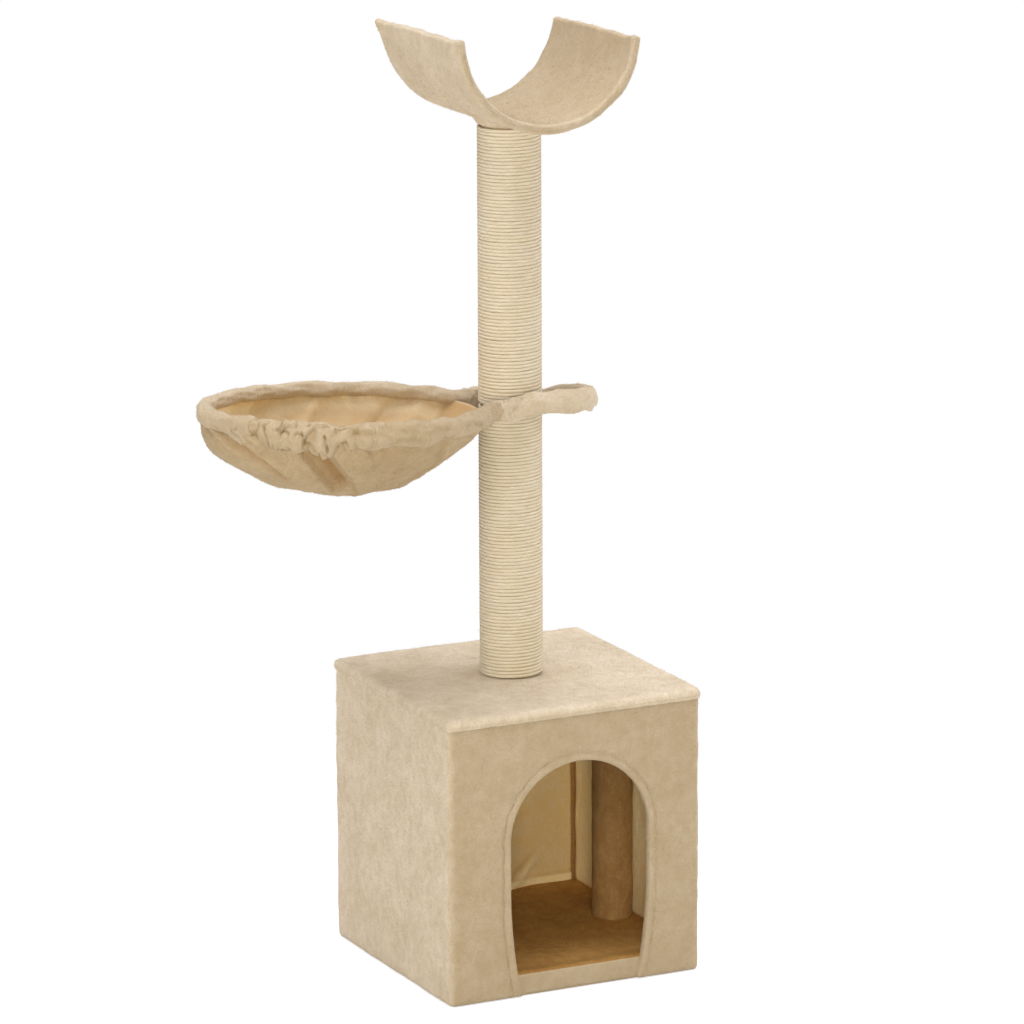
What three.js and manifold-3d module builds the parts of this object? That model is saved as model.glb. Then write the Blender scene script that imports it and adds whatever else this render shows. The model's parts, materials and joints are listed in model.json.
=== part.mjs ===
// Cat tree: a plush box house with an arched doorway, a sisal post on its roof, a plush hammock on a
// wire frame that grips the post, and a half-pipe perch bolted to the top of the post.
// Millimetres, +Z up. The origin is the centre of the house's underside, on the floor; +Y is the back.

import * as THREE from 'three';
import { mergeVertices } from 'three/addons/utils/BufferGeometryUtils.js';
import Module from 'manifold-3d';

const wasm = await Module();
wasm.setup();

// ---- General ---------------------------------------------------------------------------------------

const FIT = 0.3; // gap kept between pieces that touch
const PLUSH = 2.4; // thickness of the plush with its pile
const LINING = 1.8; // thickness of the thinner plush inside the house
const OVERCUT = 5; // how far a cutter runs past the piece that it cuts
const MERGE_DISTANCE = 1e-4; // vertices closer than this become one
const ROUND_SEGMENTS = 28; // sides of a large round piece
const SMALL_SEGMENTS = 16; // sides of a screw, bolt or insert

// ---- House -----------------------------------------------------------------------------------------

const HOUSE_WIDTH = 302;
const HOUSE_DEPTH = 294;
const HOUSE_HEIGHT = 318;
const HOUSE_CORNER_RADIUS = 6.5;
const HOUSE_CORNER_SEGMENTS = 3;
const BASE_THICKNESS = 22; // chipboard
const ROOF_THICKNESS = 18;
const PANEL_THICKNESS = 3;
const WALL_FLOOR_GAP = 1; // walls and covers end just above the floor
const ROOF_SKIRT = 8; // how far the roof cover folds down over the walls

const PANEL_OUTSET = PLUSH + FIT; // from the house's outer face to a wall panel
const BOARD_OUTSET = PANEL_OUTSET + PANEL_THICKNESS + FIT; // to the edge of the top board
const WALL_THICKNESS = BOARD_OUTSET + LINING; // outer cover, panel and lining
const TOP_BOARD_TOP = HOUSE_HEIGHT - PLUSH - FIT;
const TOP_BOARD_BOTTOM = TOP_BOARD_TOP - ROOF_THICKNESS;
const FLOOR_TOP = BASE_THICKNESS + FIT + PLUSH; // top of the base cover, the house's floor

// ---- Doorway ---------------------------------------------------------------------------------------

const ARCH_CENTRE_X = 5;
const ARCH_RADIUS = 84;
const ARCH_SPRING_HEIGHT = 174; // where the round top begins
const ARCH_TAPER_HEIGHT = 120; // below this the legs curve inwards
const ARCH_TAPER = 13; // how far each leg has come in at the floor
const ARCH_TOP_SEGMENTS = 20;
const ARCH_LEG_SEGMENTS = 5;
const HEM_WIDTH = 8.5; // band folded round the edge of the arch
const HEM_WRAP = 1.8; // thickness of the fold on the edge itself
const HEM_PROUD = 0.8; // how far the band stands out of the wall's outer face

// ---- Inner posts -----------------------------------------------------------------------------------

const INNER_POST_SETBACK = 32; // from the house's side to an inner post's axis
const INNER_POST_Y = 0;
const INNER_TUBE_RADIUS = 20;
const INNER_TUBE_WALL = 3;
const INNER_PLUG_LENGTH = 24;
const WOOD_SCREW_RADIUS = 2.5;
const WOOD_SCREW_HEAD_RADIUS = 5;
const WOOD_SCREW_HEAD_HEIGHT = 3;
const WOOD_SCREW_LENGTH = 40;
const WOOD_SCREW_TIP = 5;
const WOOD_SCREW_SUNK = 0.5; // how deep the head sits below the board's face

const INNER_POST_X = HOUSE_WIDTH / 2 - INNER_POST_SETBACK;

// ---- Main post -------------------------------------------------------------------------------------

const POST_Y = 10;
const POST_RADIUS = 34.8; // over the rope
const ROPE_THICKNESS = 4.7;
const POST_TUBE_WALL = 3.6;
const POST_SPLIT_HEIGHT = 622; // where the two tubes meet
const POST_TOP_HEIGHT = 930;
const POST_PLUG_LENGTH = 26;
const INSERT_RADIUS = 6.5;
const INSERT_LENGTH = 20;
const BOLT_RADIUS = 4; // all three machine screws are M8
const BOLT_HEAD_RADIUS = 7;
const BOLT_HEAD_HEIGHT = 5.3;
const BOLT_HEAD_CHAMFER = 1;
const BOLT_GRIP = 22; // thread length held by an insert
const SOCKET_RADIUS = 2.9;
const SOCKET_DEPTH = 3;
const WASHER_RADIUS = 12;
const WASHER_THICKNESS = 1.6;

const POST_TUBE_RADIUS = POST_RADIUS - ROPE_THICKNESS - FIT;
const POST_BORE_RADIUS = POST_TUBE_RADIUS - POST_TUBE_WALL;
const BOLT_HOLE_RADIUS = BOLT_RADIUS + FIT;

// ---- Hammock ---------------------------------------------------------------------------------------

const HAMMOCK_HEIGHT = 621.5; // height of the frame's plane at the post's axis
const HAMMOCK_YAW = 5; // degrees the basket is turned towards the back
const HAMMOCK_PITCH = 2.2; // degrees the basket's far end is up
const HAMMOCK_ROLL = 3.3; // degrees the front side is up
const RING_RADIUS = 151; // centre line of the wire
const RING_REACH = 190; // from the post's axis to the ring's centre
const WIRE_RADIUS = 3;
const SLEEVE_RADIUS = 10;
const LOOP_REACH = 90; // from the post's axis to the wire's centre line at the loop's end
const LOOP_RISE = 4; // how far the loop's end is bent up
const NECK_BEND_RADIUS = 26; // bend between the ring and the loop
const WIRE_SIDES = 8; // sides of the wire and its sleeves
const KEYHOLE_STEPS = 72; // steps round the whole keyhole
const SLEEVE_JOINT_ANGLE = 16; // degrees round the ring, carried on into the neck, where the sleeves meet
const BOWL_DEPTH = 84; // from the frame's plane to the bowl's underside
const BOWL_FLOOR_RADIUS = 52;
const BOWL_DRIFT = 12; // how far the floor hangs away from the post
const BOWL_SEGMENTS = 36;
const BOWL_WALL_STEPS = 7;
const BOWL_FULLNESS = 2; // how far the wall stays out before it turns in to the floor

const LOOP_HALF_WIDTH = POST_RADIUS + SLEEVE_RADIUS + 2 * FIT;

// ---- Perch -----------------------------------------------------------------------------------------

const PERCH_OUTER_RADIUS = 108.5;
const PERCH_HALF_ANGLE = 85.5; // degrees of arc on each side of the bottom
const PERCH_LENGTH = 212;
const PERCH_BOARD_THICKNESS = 4;
const PERCH_ROLL = 2.4; // degrees the left side is up
const PERCH_PITCH = 1.8; // degrees the far end is down
const PERCH_YAW = -2; // degrees the perch is turned on the post
const PERCH_SHIFT = 3.4; // sideways from the post's axis to the lowest line of the arc
const PERCH_STEPS = 24;
const PERCH_HOLE_RADIUS = 5;
const PERCH_BOARD_UNDER_HEAD = 1.9; // board left under the bolt's flat head, at the lowest line
const FLAT_HEAD_RADIUS = 7.5; // the perch bolt's flat head, sunk in the board under the plush
const FLAT_HEAD_HEIGHT = 1.6;

const PERCH_BOARD_RADIUS = PERCH_OUTER_RADIUS - PLUSH - FIT; // outer face of the bent board
const PERCH_INNER_RADIUS = PERCH_BOARD_RADIUS - PERCH_BOARD_THICKNESS - FIT - PLUSH;

// ---- Materials -------------------------------------------------------------------------------------

const finish = (color, roughness, metalness = 0) =>
  new THREE.MeshStandardMaterial({ color, roughness, metalness });

const FINISHES = {
  plush: () => finish('#cbb48f', 0.95),
  chipboard: () => finish('#b08d62', 0.85),
  hardboard: () => finish('#8a6a48', 0.8),
  cardboardTube: () => finish('#b69a78', 0.9),
  plug: () => finish('#a98759', 0.85),
  sisal: () => finish('#e0cda3', 0.95),
  steel: () => finish('#b9bcc0', 0.35, 1),
  wire: () => finish('#3a3a3c', 0.5, 1),
};

// ---- Solids ----------------------------------------------------------------------------------------

const radians = THREE.MathUtils.degToRad;

// A closed manifold solid made from a three.js geometry.
function solid(geometry) {
  const bare = geometry.index ? geometry.toNonIndexed() : geometry.clone();
  bare.deleteAttribute('normal');
  bare.deleteAttribute('uv');
  const merged = mergeVertices(bare, MERGE_DISTANCE);
  return new wasm.Manifold(new wasm.Mesh({
    numProp: 3,
    vertProperties: merged.attributes.position.array,
    triVerts: new Uint32Array(merged.index.array),
  }));
}

// A three.js geometry made from a manifold solid.
function geometryOf(manifold) {
  const mesh = manifold.getMesh();
  const geometry = new THREE.BufferGeometry();
  geometry.setAttribute('position', new THREE.BufferAttribute(mesh.vertProperties, 3));
  geometry.setIndex(new THREE.BufferAttribute(mesh.triVerts, 1));
  return geometry;
}

const cut = (body, ...tools) => tools.reduce((rest, tool) => rest.subtract(tool), body);

// A box between two corners.
function box(low, high) {
  const size = high.map((value, axis) => value - low[axis]);
  const geometry = new THREE.BoxGeometry(...size);
  return geometry.translate(...low.map((value, axis) => value + size[axis] / 2));
}

// A box that is centred on the house, from its half width, half depth and two heights.
const centredBox = (halfWidth, halfDepth, bottom, top) =>
  box([-halfWidth, -halfDepth, bottom], [halfWidth, halfDepth, top]);

// A body turned about the Z axis from [radius, height] points; the profile closes on itself or on the axis.
function turned(points, segments = ROUND_SEGMENTS) {
  const profile = points.map(([radius, height]) => new THREE.Vector2(radius, height));
  return new THREE.LatheGeometry(profile, segments).rotateX(Math.PI / 2);
}

// A ring or tube section about the Z axis.
const ring = (inner, outer, bottom, top, segments) =>
  turned([[inner, bottom], [outer, bottom], [outer, top], [inner, top], [inner, bottom]], segments);

// A rod about the Z axis.
const rod = (radius, bottom, top, segments = SMALL_SEGMENTS) =>
  turned([[0, bottom], [radius, bottom], [radius, top], [0, top]], segments);

// A rectangle with round corners, in plan.
function roundedRectangle(halfWidth, halfDepth, radius) {
  const outline = new THREE.Shape();
  outline.moveTo(halfWidth, -halfDepth + radius);
  outline.absarc(halfWidth - radius, halfDepth - radius, radius, 0, Math.PI / 2);
  outline.absarc(-halfWidth + radius, halfDepth - radius, radius, Math.PI / 2, Math.PI);
  outline.absarc(-halfWidth + radius, -halfDepth + radius, radius, Math.PI, 1.5 * Math.PI);
  outline.absarc(halfWidth - radius, -halfDepth + radius, radius, 1.5 * Math.PI, 2 * Math.PI);
  return outline;
}

// The house's outline in plan, moved in by an inset, as a prism between two heights.
function housePrism(inset, bottom, top) {
  const radius = Math.max(HOUSE_CORNER_RADIUS - inset, FIT);
  const outline = roundedRectangle(HOUSE_WIDTH / 2 - inset, HOUSE_DEPTH / 2 - inset, radius);
  const options = { depth: top - bottom, bevelEnabled: false, curveSegments: HOUSE_CORNER_SEGMENTS };
  return new THREE.ExtrudeGeometry(outline, options).translate(0, 0, bottom);
}

// The doorway's outline in the front wall (X across, Y up), grown outwards by a margin and open to
// below the floor.
function archOutline(margin) {
  const radius = ARCH_RADIUS + margin;
  const points = [];
  for (let step = 0; step <= ARCH_TOP_SEGMENTS; step++) {
    const angle = Math.PI * (step / ARCH_TOP_SEGMENTS);
    points.push([radius * Math.cos(angle), ARCH_SPRING_HEIGHT + radius * Math.sin(angle)]);
  }
  const leg = [];
  for (let step = 0; step <= ARCH_LEG_SEGMENTS; step++) {
    const share = step / ARCH_LEG_SEGMENTS;
    leg.push([radius - ARCH_TAPER * share ** 2, ARCH_TAPER_HEIGHT * (1 - share)]);
  }
  leg.push([radius - ARCH_TAPER, -OVERCUT]);
  const left = leg.map(([x, z]) => [-x, z]);
  const right = [...leg].reverse();
  return new THREE.Shape([...right, ...points, ...left]
    .map(([x, z]) => new THREE.Vector2(ARCH_CENTRE_X + x, z)));
}

// The doorway's outline as a solid that runs from one depth to another.
function archPrism(margin, front, back) {
  const options = { depth: back - front, bevelEnabled: false };
  const geometry = new THREE.ExtrudeGeometry(archOutline(margin), options);
  return solid(geometry.rotateX(Math.PI / 2).translate(0, back, 0));
}

// A tube of round section along an open path: solid, or with a bore.
function sweep(path, outer, inner, sides, steps) {
  const circle = radius => Array.from({ length: sides }, (_, side) => {
    const angle = 2 * Math.PI * (side / sides);
    return new THREE.Vector2(radius * Math.cos(angle), radius * Math.sin(angle));
  });
  const section = new THREE.Shape(circle(outer));
  if (inner > 0) section.holes.push(new THREE.Path(circle(inner).reverse()));
  return new THREE.ExtrudeGeometry(section, { steps, extrudePath: path, bevelEnabled: false });
}

const root = new THREE.Group();

function add(name, geometry, material, parent = root) {
  const mesh = new THREE.Mesh(geometry, FINISHES[material]());
  mesh.name = name;
  parent.add(mesh);
  return mesh;
}

// ---- Fasteners -------------------------------------------------------------------------------------

// A countersunk wood screw that points up, with the face of its head at the origin.
function woodScrew() {
  return turned([
    [0, 0],
    [WOOD_SCREW_HEAD_RADIUS, 0],
    [WOOD_SCREW_RADIUS, WOOD_SCREW_HEAD_HEIGHT],
    [WOOD_SCREW_RADIUS, WOOD_SCREW_LENGTH - WOOD_SCREW_TIP],
    [0, WOOD_SCREW_LENGTH],
  ], SMALL_SEGMENTS);
}

// The countersunk hole for that screw, open below its head and running through a board.
function woodScrewHole() {
  return turned([
    [0, -OVERCUT],
    [WOOD_SCREW_HEAD_RADIUS + FIT, -OVERCUT],
    [WOOD_SCREW_HEAD_RADIUS + FIT, FIT],
    [WOOD_SCREW_RADIUS + FIT, WOOD_SCREW_HEAD_HEIGHT + FIT],
    [WOOD_SCREW_RADIUS + FIT, WOOD_SCREW_LENGTH + OVERCUT],
    [0, WOOD_SCREW_LENGTH + OVERCUT],
  ], SMALL_SEGMENTS);
}

// A pan-head machine screw that points up, with a socket in its head; the head's bearing face is at
// the origin.
function machineScrew(length) {
  return turned([
    [0, -BOLT_HEAD_HEIGHT + SOCKET_DEPTH],
    [SOCKET_RADIUS, -BOLT_HEAD_HEIGHT + SOCKET_DEPTH],
    [SOCKET_RADIUS, -BOLT_HEAD_HEIGHT],
    [BOLT_HEAD_RADIUS - BOLT_HEAD_CHAMFER, -BOLT_HEAD_HEIGHT],
    [BOLT_HEAD_RADIUS, -BOLT_HEAD_HEIGHT + BOLT_HEAD_CHAMFER],
    [BOLT_HEAD_RADIUS, 0],
    [BOLT_RADIUS, 0],
    [BOLT_RADIUS, length],
    [0, length],
  ], SMALL_SEGMENTS);
}

const washer = () => ring(BOLT_HOLE_RADIUS, WASHER_RADIUS, 0, WASHER_THICKNESS, SMALL_SEGMENTS);

// ---- House: boards and walls -----------------------------------------------------------------------

const innerPosts = [['left', -INNER_POST_X], ['right', INNER_POST_X]];

// A screw hole at each inner post, through what is stacked there: upwards from a height, or downwards.
function innerPostHoles(height, direction) {
  return innerPosts.map(([, x]) => {
    const hole = woodScrewHole();
    if (direction < 0) hole.rotateX(Math.PI);
    return solid(hole.translate(x, INNER_POST_Y, height));
  });
}

const postHole = (radius, bottom, top) => solid(rod(radius, bottom, top).translate(0, POST_Y, 0));

function addBase() {
  const boardInset = BOARD_OUTSET + PLUSH + FIT;
  const coverInset = BOARD_OUTSET;
  const halfWidth = HOUSE_WIDTH / 2;
  const halfDepth = HOUSE_DEPTH / 2;
  const holes = innerPostHoles(WOOD_SCREW_SUNK, 1);
  const board = solid(centredBox(halfWidth - boardInset, halfDepth - boardInset, 0, BASE_THICKNESS));
  add('base_board', geometryOf(cut(board, ...holes)), 'chipboard');

  const cover = solid(centredBox(halfWidth - coverInset, halfDepth - coverInset, WALL_FLOOR_GAP, FLOOR_TOP));
  const hollow = solid(centredBox(halfWidth - boardInset + FIT, halfDepth - boardInset + FIT,
    -OVERCUT, BASE_THICKNESS + FIT));
  add('base_cover', geometryOf(cut(cover, hollow, ...holes)), 'plush');
}

function addRoof() {
  const halfWidth = HOUSE_WIDTH / 2 - BOARD_OUTSET;
  const halfDepth = HOUSE_DEPTH / 2 - BOARD_OUTSET;
  const board = solid(centredBox(halfWidth, halfDepth, TOP_BOARD_BOTTOM, TOP_BOARD_TOP));
  const boltHole = postHole(BOLT_HOLE_RADIUS, TOP_BOARD_BOTTOM - OVERCUT, HOUSE_HEIGHT + OVERCUT);
  const screwHoles = innerPostHoles(TOP_BOARD_TOP - WOOD_SCREW_SUNK, -1);
  add('top_board', geometryOf(cut(board, boltHole, ...screwHoles)), 'chipboard');

  const skirtBottom = HOUSE_HEIGHT - ROOF_SKIRT;
  const cover = solid(housePrism(0, skirtBottom, HOUSE_HEIGHT));
  const hollow = solid(housePrism(PLUSH, skirtBottom - OVERCUT, HOUSE_HEIGHT - PLUSH));
  add('roof_cover', geometryOf(cut(cover, hollow, boltHole)), 'plush');
}

function addWalls() {
  const left = -HOUSE_WIDTH / 2;
  const front = -HOUSE_DEPTH / 2;
  const skirtBottom = HOUSE_HEIGHT - ROOF_SKIRT;
  const panelIn = PANEL_OUTSET + PANEL_THICKNESS;

  // One outer cover sewn round all four walls, cut back round the doorway for the hem.
  const cover = solid(housePrism(0, WALL_FLOOR_GAP, skirtBottom - FIT));
  const inside = solid(housePrism(PLUSH, -OVERCUT, skirtBottom + OVERCUT));
  const coverArch = archPrism(HEM_WIDTH + FIT, front - OVERCUT, 0);
  add('wall_cover', geometryOf(cut(cover, inside, coverArch)), 'plush');

  // Side panels run from front to back; the front and back panels stand between them.
  const panelArch = archPrism(HEM_WRAP + FIT, front - OVERCUT, 0);
  const panelPrism = solid(housePrism(PANEL_OUTSET, -OVERCUT, HOUSE_HEIGHT));
  const walls = {
    left: [[left + PANEL_OUTSET, front + PANEL_OUTSET], [left + panelIn, -front - PANEL_OUTSET]],
    right: [[-left - panelIn, front + PANEL_OUTSET], [-left - PANEL_OUTSET, -front - PANEL_OUTSET]],
    back: [[left + panelIn + FIT, -front - panelIn], [-left - panelIn - FIT, -front - PANEL_OUTSET]],
    front: [[left + panelIn + FIT, front + PANEL_OUTSET], [-left - panelIn - FIT, front + panelIn]],
  };
  for (const [side, [low, high]] of Object.entries(walls)) {
    const slab = solid(box([...low, WALL_FLOOR_GAP], [...high, TOP_BOARD_TOP]));
    const panel = slab.intersect(panelPrism);
    add(`wall_panel_${side}`, geometryOf(side === 'front' ? cut(panel, panelArch) : panel), 'hardboard');
  }

  // A lining against each panel, from the floor to the top board. Side linings run from front to back.
  const outer = BOARD_OUTSET;
  const inner = WALL_THICKNESS;
  const linings = {
    left: [[left + outer, front + outer], [left + inner, -front - outer]],
    right: [[-left - inner, front + outer], [-left - outer, -front - outer]],
    back: [[left + inner + FIT, -front - inner], [-left - inner - FIT, -front - outer]],
    front: [[left + inner + FIT, front + outer], [-left - inner - FIT, front + inner]],
  };
  for (const [side, [low, high]] of Object.entries(linings)) {
    const sheet = box([...low, FLOOR_TOP + FIT], [...high, TOP_BOARD_BOTTOM - FIT]);
    const shape = side === 'front' ? geometryOf(cut(solid(sheet), panelArch)) : sheet;
    add(`wall_lining_${side}`, shape, 'plush');
  }
}

// The hem: a channel round the edge of the arch, with a wide leg in the plane of the outer cover.
function addArchHem() {
  const front = -HOUSE_DEPTH / 2;
  const wrapBack = front + WALL_THICKNESS;
  const wideLeg = archPrism(HEM_WIDTH, front - HEM_PROUD, front + PLUSH);
  const wrap = archPrism(HEM_WRAP, front - HEM_PROUD, wrapBack);
  const opening = archPrism(0, front - OVERCUT, 0);
  const below = solid(box([-HOUSE_WIDTH, -HOUSE_DEPTH, -2 * OVERCUT], [HOUSE_WIDTH, 0, WALL_FLOOR_GAP]));
  const behindSill = solid(box(
    [-HOUSE_WIDTH, front + BOARD_OUTSET - FIT, -2 * OVERCUT],
    [HOUSE_WIDTH, 0, FLOOR_TOP + FIT],
  ));
  add('arch_hem', geometryOf(cut(wideLeg.add(wrap), opening, below, behindSill)), 'plush');
}

// ---- House: inner posts ----------------------------------------------------------------------------

function addInnerPosts() {
  const bottom = FLOOR_TOP + FIT;
  const top = TOP_BOARD_BOTTOM - FIT;
  const bore = INNER_TUBE_RADIUS - INNER_TUBE_WALL;
  const plugRadius = bore - FIT;
  const screwHole = WOOD_SCREW_RADIUS + FIT;
  for (const [side, x] of innerPosts) {
    const post = new THREE.Group();
    post.position.set(x, INNER_POST_Y, 0);
    root.add(post);
    const coverBore = INNER_TUBE_RADIUS + FIT;
    add(`inner_tube_${side}`, ring(bore, INNER_TUBE_RADIUS, bottom, top), 'cardboardTube', post);
    add(`inner_post_cover_${side}`, ring(coverBore, coverBore + PLUSH, bottom, top), 'plush', post);
    const plug = (low, high) => ring(screwHole, plugRadius, low, high, SMALL_SEGMENTS);
    add(`inner_plug_bottom_${side}`, plug(bottom, bottom + INNER_PLUG_LENGTH), 'plug', post);
    add(`inner_plug_top_${side}`, plug(top - INNER_PLUG_LENGTH, top), 'plug', post);
    add(`inner_screw_bottom_${side}`, woodScrew(), 'steel', post).position.z = WOOD_SCREW_SUNK;
    const topScrew = add(`inner_screw_top_${side}`, woodScrew().rotateX(Math.PI), 'steel', post);
    topScrew.position.z = TOP_BOARD_TOP - WOOD_SCREW_SUNK;
  }
}

// ---- Main post -------------------------------------------------------------------------------------

const post = new THREE.Group();
post.position.y = POST_Y;
root.add(post);

// One section of the post: a tube with a rope wrap, and a plug with a threaded insert at each end.
function addPostSection(name, bottom, top) {
  add(`${name}_post_tube`, ring(POST_BORE_RADIUS, POST_TUBE_RADIUS, bottom, top), 'cardboardTube', post);
  add(`${name}_sisal_rope`, ring(POST_TUBE_RADIUS + FIT, POST_RADIUS, bottom, top), 'sisal', post);
  const insertSeat = INSERT_RADIUS + FIT;
  const plug = (low, high) => ring(insertSeat, POST_BORE_RADIUS - FIT, low, high, ROUND_SEGMENTS);
  const insert = (low, high) => ring(BOLT_HOLE_RADIUS, INSERT_RADIUS, low, high, SMALL_SEGMENTS);
  add(`${name}_plug_bottom`, plug(bottom, bottom + POST_PLUG_LENGTH), 'plug', post);
  add(`${name}_insert_bottom`, insert(bottom, bottom + INSERT_LENGTH), 'steel', post);
  add(`${name}_plug_top`, plug(top - POST_PLUG_LENGTH, top), 'plug', post);
  add(`${name}_insert_top`, insert(top - INSERT_LENGTH, top), 'steel', post);
}

function addPost() {
  addPostSection('lower', HOUSE_HEIGHT + FIT, POST_SPLIT_HEIGHT - FIT / 2);
  addPostSection('upper', POST_SPLIT_HEIGHT + FIT / 2, POST_TOP_HEIGHT);

  const washerBottom = TOP_BOARD_BOTTOM - FIT - WASHER_THICKNESS;
  const headSeat = washerBottom - FIT;
  add('post_bolt_washer', washer().translate(0, 0, washerBottom), 'steel', post);
  add('post_bolt', machineScrew(HOUSE_HEIGHT + BOLT_GRIP - headSeat).translate(0, 0, headSeat), 'steel', post);
  const stud = rod(BOLT_RADIUS, POST_SPLIT_HEIGHT - BOLT_GRIP, POST_SPLIT_HEIGHT + BOLT_GRIP);
  add('joining_stud', stud, 'steel', post);
}

// ---- Perch -----------------------------------------------------------------------------------------

// How far the perch is lifted so that its sloping underside only just meets the top of the post.
const PERCH_SEAT = POST_TOP_HEIGHT + FIT + POST_RADIUS * Math.sin(radians(PERCH_PITCH));

// A half-pipe shell between two radii, with its lowest outer line through the origin along Y.
function halfPipe(outer, inner, halfAngle, length) {
  const points = [];
  for (let step = 0; step <= PERCH_STEPS; step++) {
    const angle = radians(halfAngle) * (2 * step / PERCH_STEPS - 1);
    points.push([Math.sin(angle), Math.cos(angle)]);
  }
  const arc = radius => points.map(([x, z]) => new THREE.Vector2(radius * x, -radius * z));
  const outline = new THREE.Shape([...arc(outer), ...arc(inner).reverse()]);
  const geometry = new THREE.ExtrudeGeometry(outline, { depth: length, bevelEnabled: false });
  return geometry.rotateX(Math.PI / 2).translate(0, length / 2, PERCH_OUTER_RADIUS);
}

// Places a perch solid on the post: rolled in its own arc, shifted, pitched, turned and set on the seat.
function placePerch(geometry) {
  return geometry
    .translate(0, 0, -PERCH_OUTER_RADIUS)
    .rotateY(radians(PERCH_ROLL))
    .translate(PERCH_SHIFT, 0, PERCH_OUTER_RADIUS)
    .rotateX(-radians(PERCH_PITCH))
    .rotateZ(radians(PERCH_YAW))
    .translate(0, POST_Y, PERCH_SEAT);
}

// A thin flat-headed machine screw that points down, with its head's bearing face at the origin.
const flatBolt = length => turned([
  [0, -length],
  [BOLT_RADIUS, -length],
  [BOLT_RADIUS, 0],
  [FLAT_HEAD_RADIUS, 0],
  [FLAT_HEAD_RADIUS, FLAT_HEAD_HEIGHT],
  [0, FLAT_HEAD_HEIGHT],
], SMALL_SEGMENTS);

function addPerch() {
  const headSeat = PERCH_SEAT + PERCH_OUTER_RADIUS - PERCH_BOARD_RADIUS + PERCH_BOARD_UNDER_HEAD;
  const boltHole = postHole(PERCH_HOLE_RADIUS, POST_TOP_HEIGHT - OVERCUT, headSeat);
  const headHole = postHole(FLAT_HEAD_RADIUS + FIT, headSeat - FIT, headSeat + PERCH_OUTER_RADIUS);
  const marginAngle = THREE.MathUtils.radToDeg((PLUSH + FIT) / PERCH_BOARD_RADIUS);
  const boardInner = PERCH_BOARD_RADIUS - PERCH_BOARD_THICKNESS;
  const boardAngle = PERCH_HALF_ANGLE - marginAngle;
  const boardLength = PERCH_LENGTH - 2 * (PLUSH + FIT);
  const board = halfPipe(PERCH_BOARD_RADIUS, boardInner, boardAngle, boardLength);
  add('perch_board', geometryOf(cut(solid(placePerch(board)), boltHole, headHole)), 'plug');

  // The cover is a pocket round the board; only its outer layer has a hole for the bolt.
  const slotAngle = PERCH_HALF_ANGLE - marginAngle * (PLUSH / (PLUSH + FIT));
  const slot = halfPipe(PERCH_BOARD_RADIUS + FIT, boardInner - FIT, slotAngle, PERCH_LENGTH - 2 * PLUSH);
  const skin = halfPipe(PERCH_OUTER_RADIUS, PERCH_INNER_RADIUS, PERCH_HALF_ANGLE, PERCH_LENGTH);
  add('perch_cover', geometryOf(cut(solid(placePerch(skin)), solid(placePerch(slot)), boltHole)), 'plush');

  const bolt = flatBolt(headSeat - POST_TOP_HEIGHT + BOLT_GRIP);
  add('perch_bolt', bolt.translate(0, 0, headSeat), 'steel', post);
}

// ---- Hammock ---------------------------------------------------------------------------------------

// The hammock's own frame: +X runs from the post towards the basket, the wire lies in the XY plane.
const hammock = new THREE.Group();
hammock.position.set(0, POST_Y, HAMMOCK_HEIGHT);
hammock.rotation.set(
  radians(HAMMOCK_ROLL), radians(-HAMMOCK_PITCH), radians(180 - HAMMOCK_YAW), 'ZYX');
root.add(hammock);

// Where the arcs of the wire's keyhole outline meet on one side (Y positive): the centre of the neck
// bend, the angle at which it touches the ring, and the centre of the loop's round end.
function keyholeSide() {
  const bendY = LOOP_HALF_WIDTH + NECK_BEND_RADIUS;
  const reach = RING_RADIUS + NECK_BEND_RADIUS;
  const bendX = RING_REACH - Math.sqrt(reach ** 2 - bendY ** 2);
  const touch = Math.atan2(bendY, RING_REACH - bendX); // angle at the ring's centre where the bend ends
  const loopX = -LOOP_REACH + LOOP_HALF_WIDTH;
  return { bendX, bendY, touch, loopX };
}

// A path from a function that gives the point at a share of its length.
class MeasuredPath extends THREE.Curve {
  constructor(pointAt) {
    super();
    this.pointAt = pointAt;
  }

  getPoint(share, target = new THREE.Vector3()) {
    return target.set(...this.pointAt(share));
  }
}

// The point at a distance along the keyhole, measured from the middle of the loop's end. Negative
// distances run along the other side.
function keyholePoint(distance) {
  const [x, y] = keyholePlan(Math.abs(distance));
  const rise = x < 0 ? LOOP_RISE * (x / LOOP_REACH) ** 2 : 0;
  return [x, distance < 0 ? -y : y, rise];
}

// The same point in plan, on the side where Y is positive: the loop's round end, the straight past the
// post, the neck bend, then the ring.
function keyholePlan(distance) {
  const { bendX, bendY, touch, loopX } = keyholeSide();
  const endLength = LOOP_HALF_WIDTH * Math.PI / 2;
  const straight = bendX - loopX;
  const bendLength = NECK_BEND_RADIUS * (Math.PI / 2 - touch);
  let rest = distance;
  if (rest <= endLength) {
    const angle = Math.PI - rest / LOOP_HALF_WIDTH;
    return [loopX + LOOP_HALF_WIDTH * Math.cos(angle), LOOP_HALF_WIDTH * Math.sin(angle)];
  }
  rest -= endLength;
  if (rest <= straight) return [loopX + rest, LOOP_HALF_WIDTH];
  rest -= straight;
  if (rest <= bendLength) {
    const angle = rest / NECK_BEND_RADIUS;
    return [bendX + NECK_BEND_RADIUS * Math.sin(angle), bendY - NECK_BEND_RADIUS * Math.cos(angle)];
  }
  const angle = Math.PI - touch - (rest - bendLength) / RING_RADIUS;
  return [RING_REACH + RING_RADIUS * Math.cos(angle), RING_RADIUS * Math.sin(angle)];
}

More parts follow.
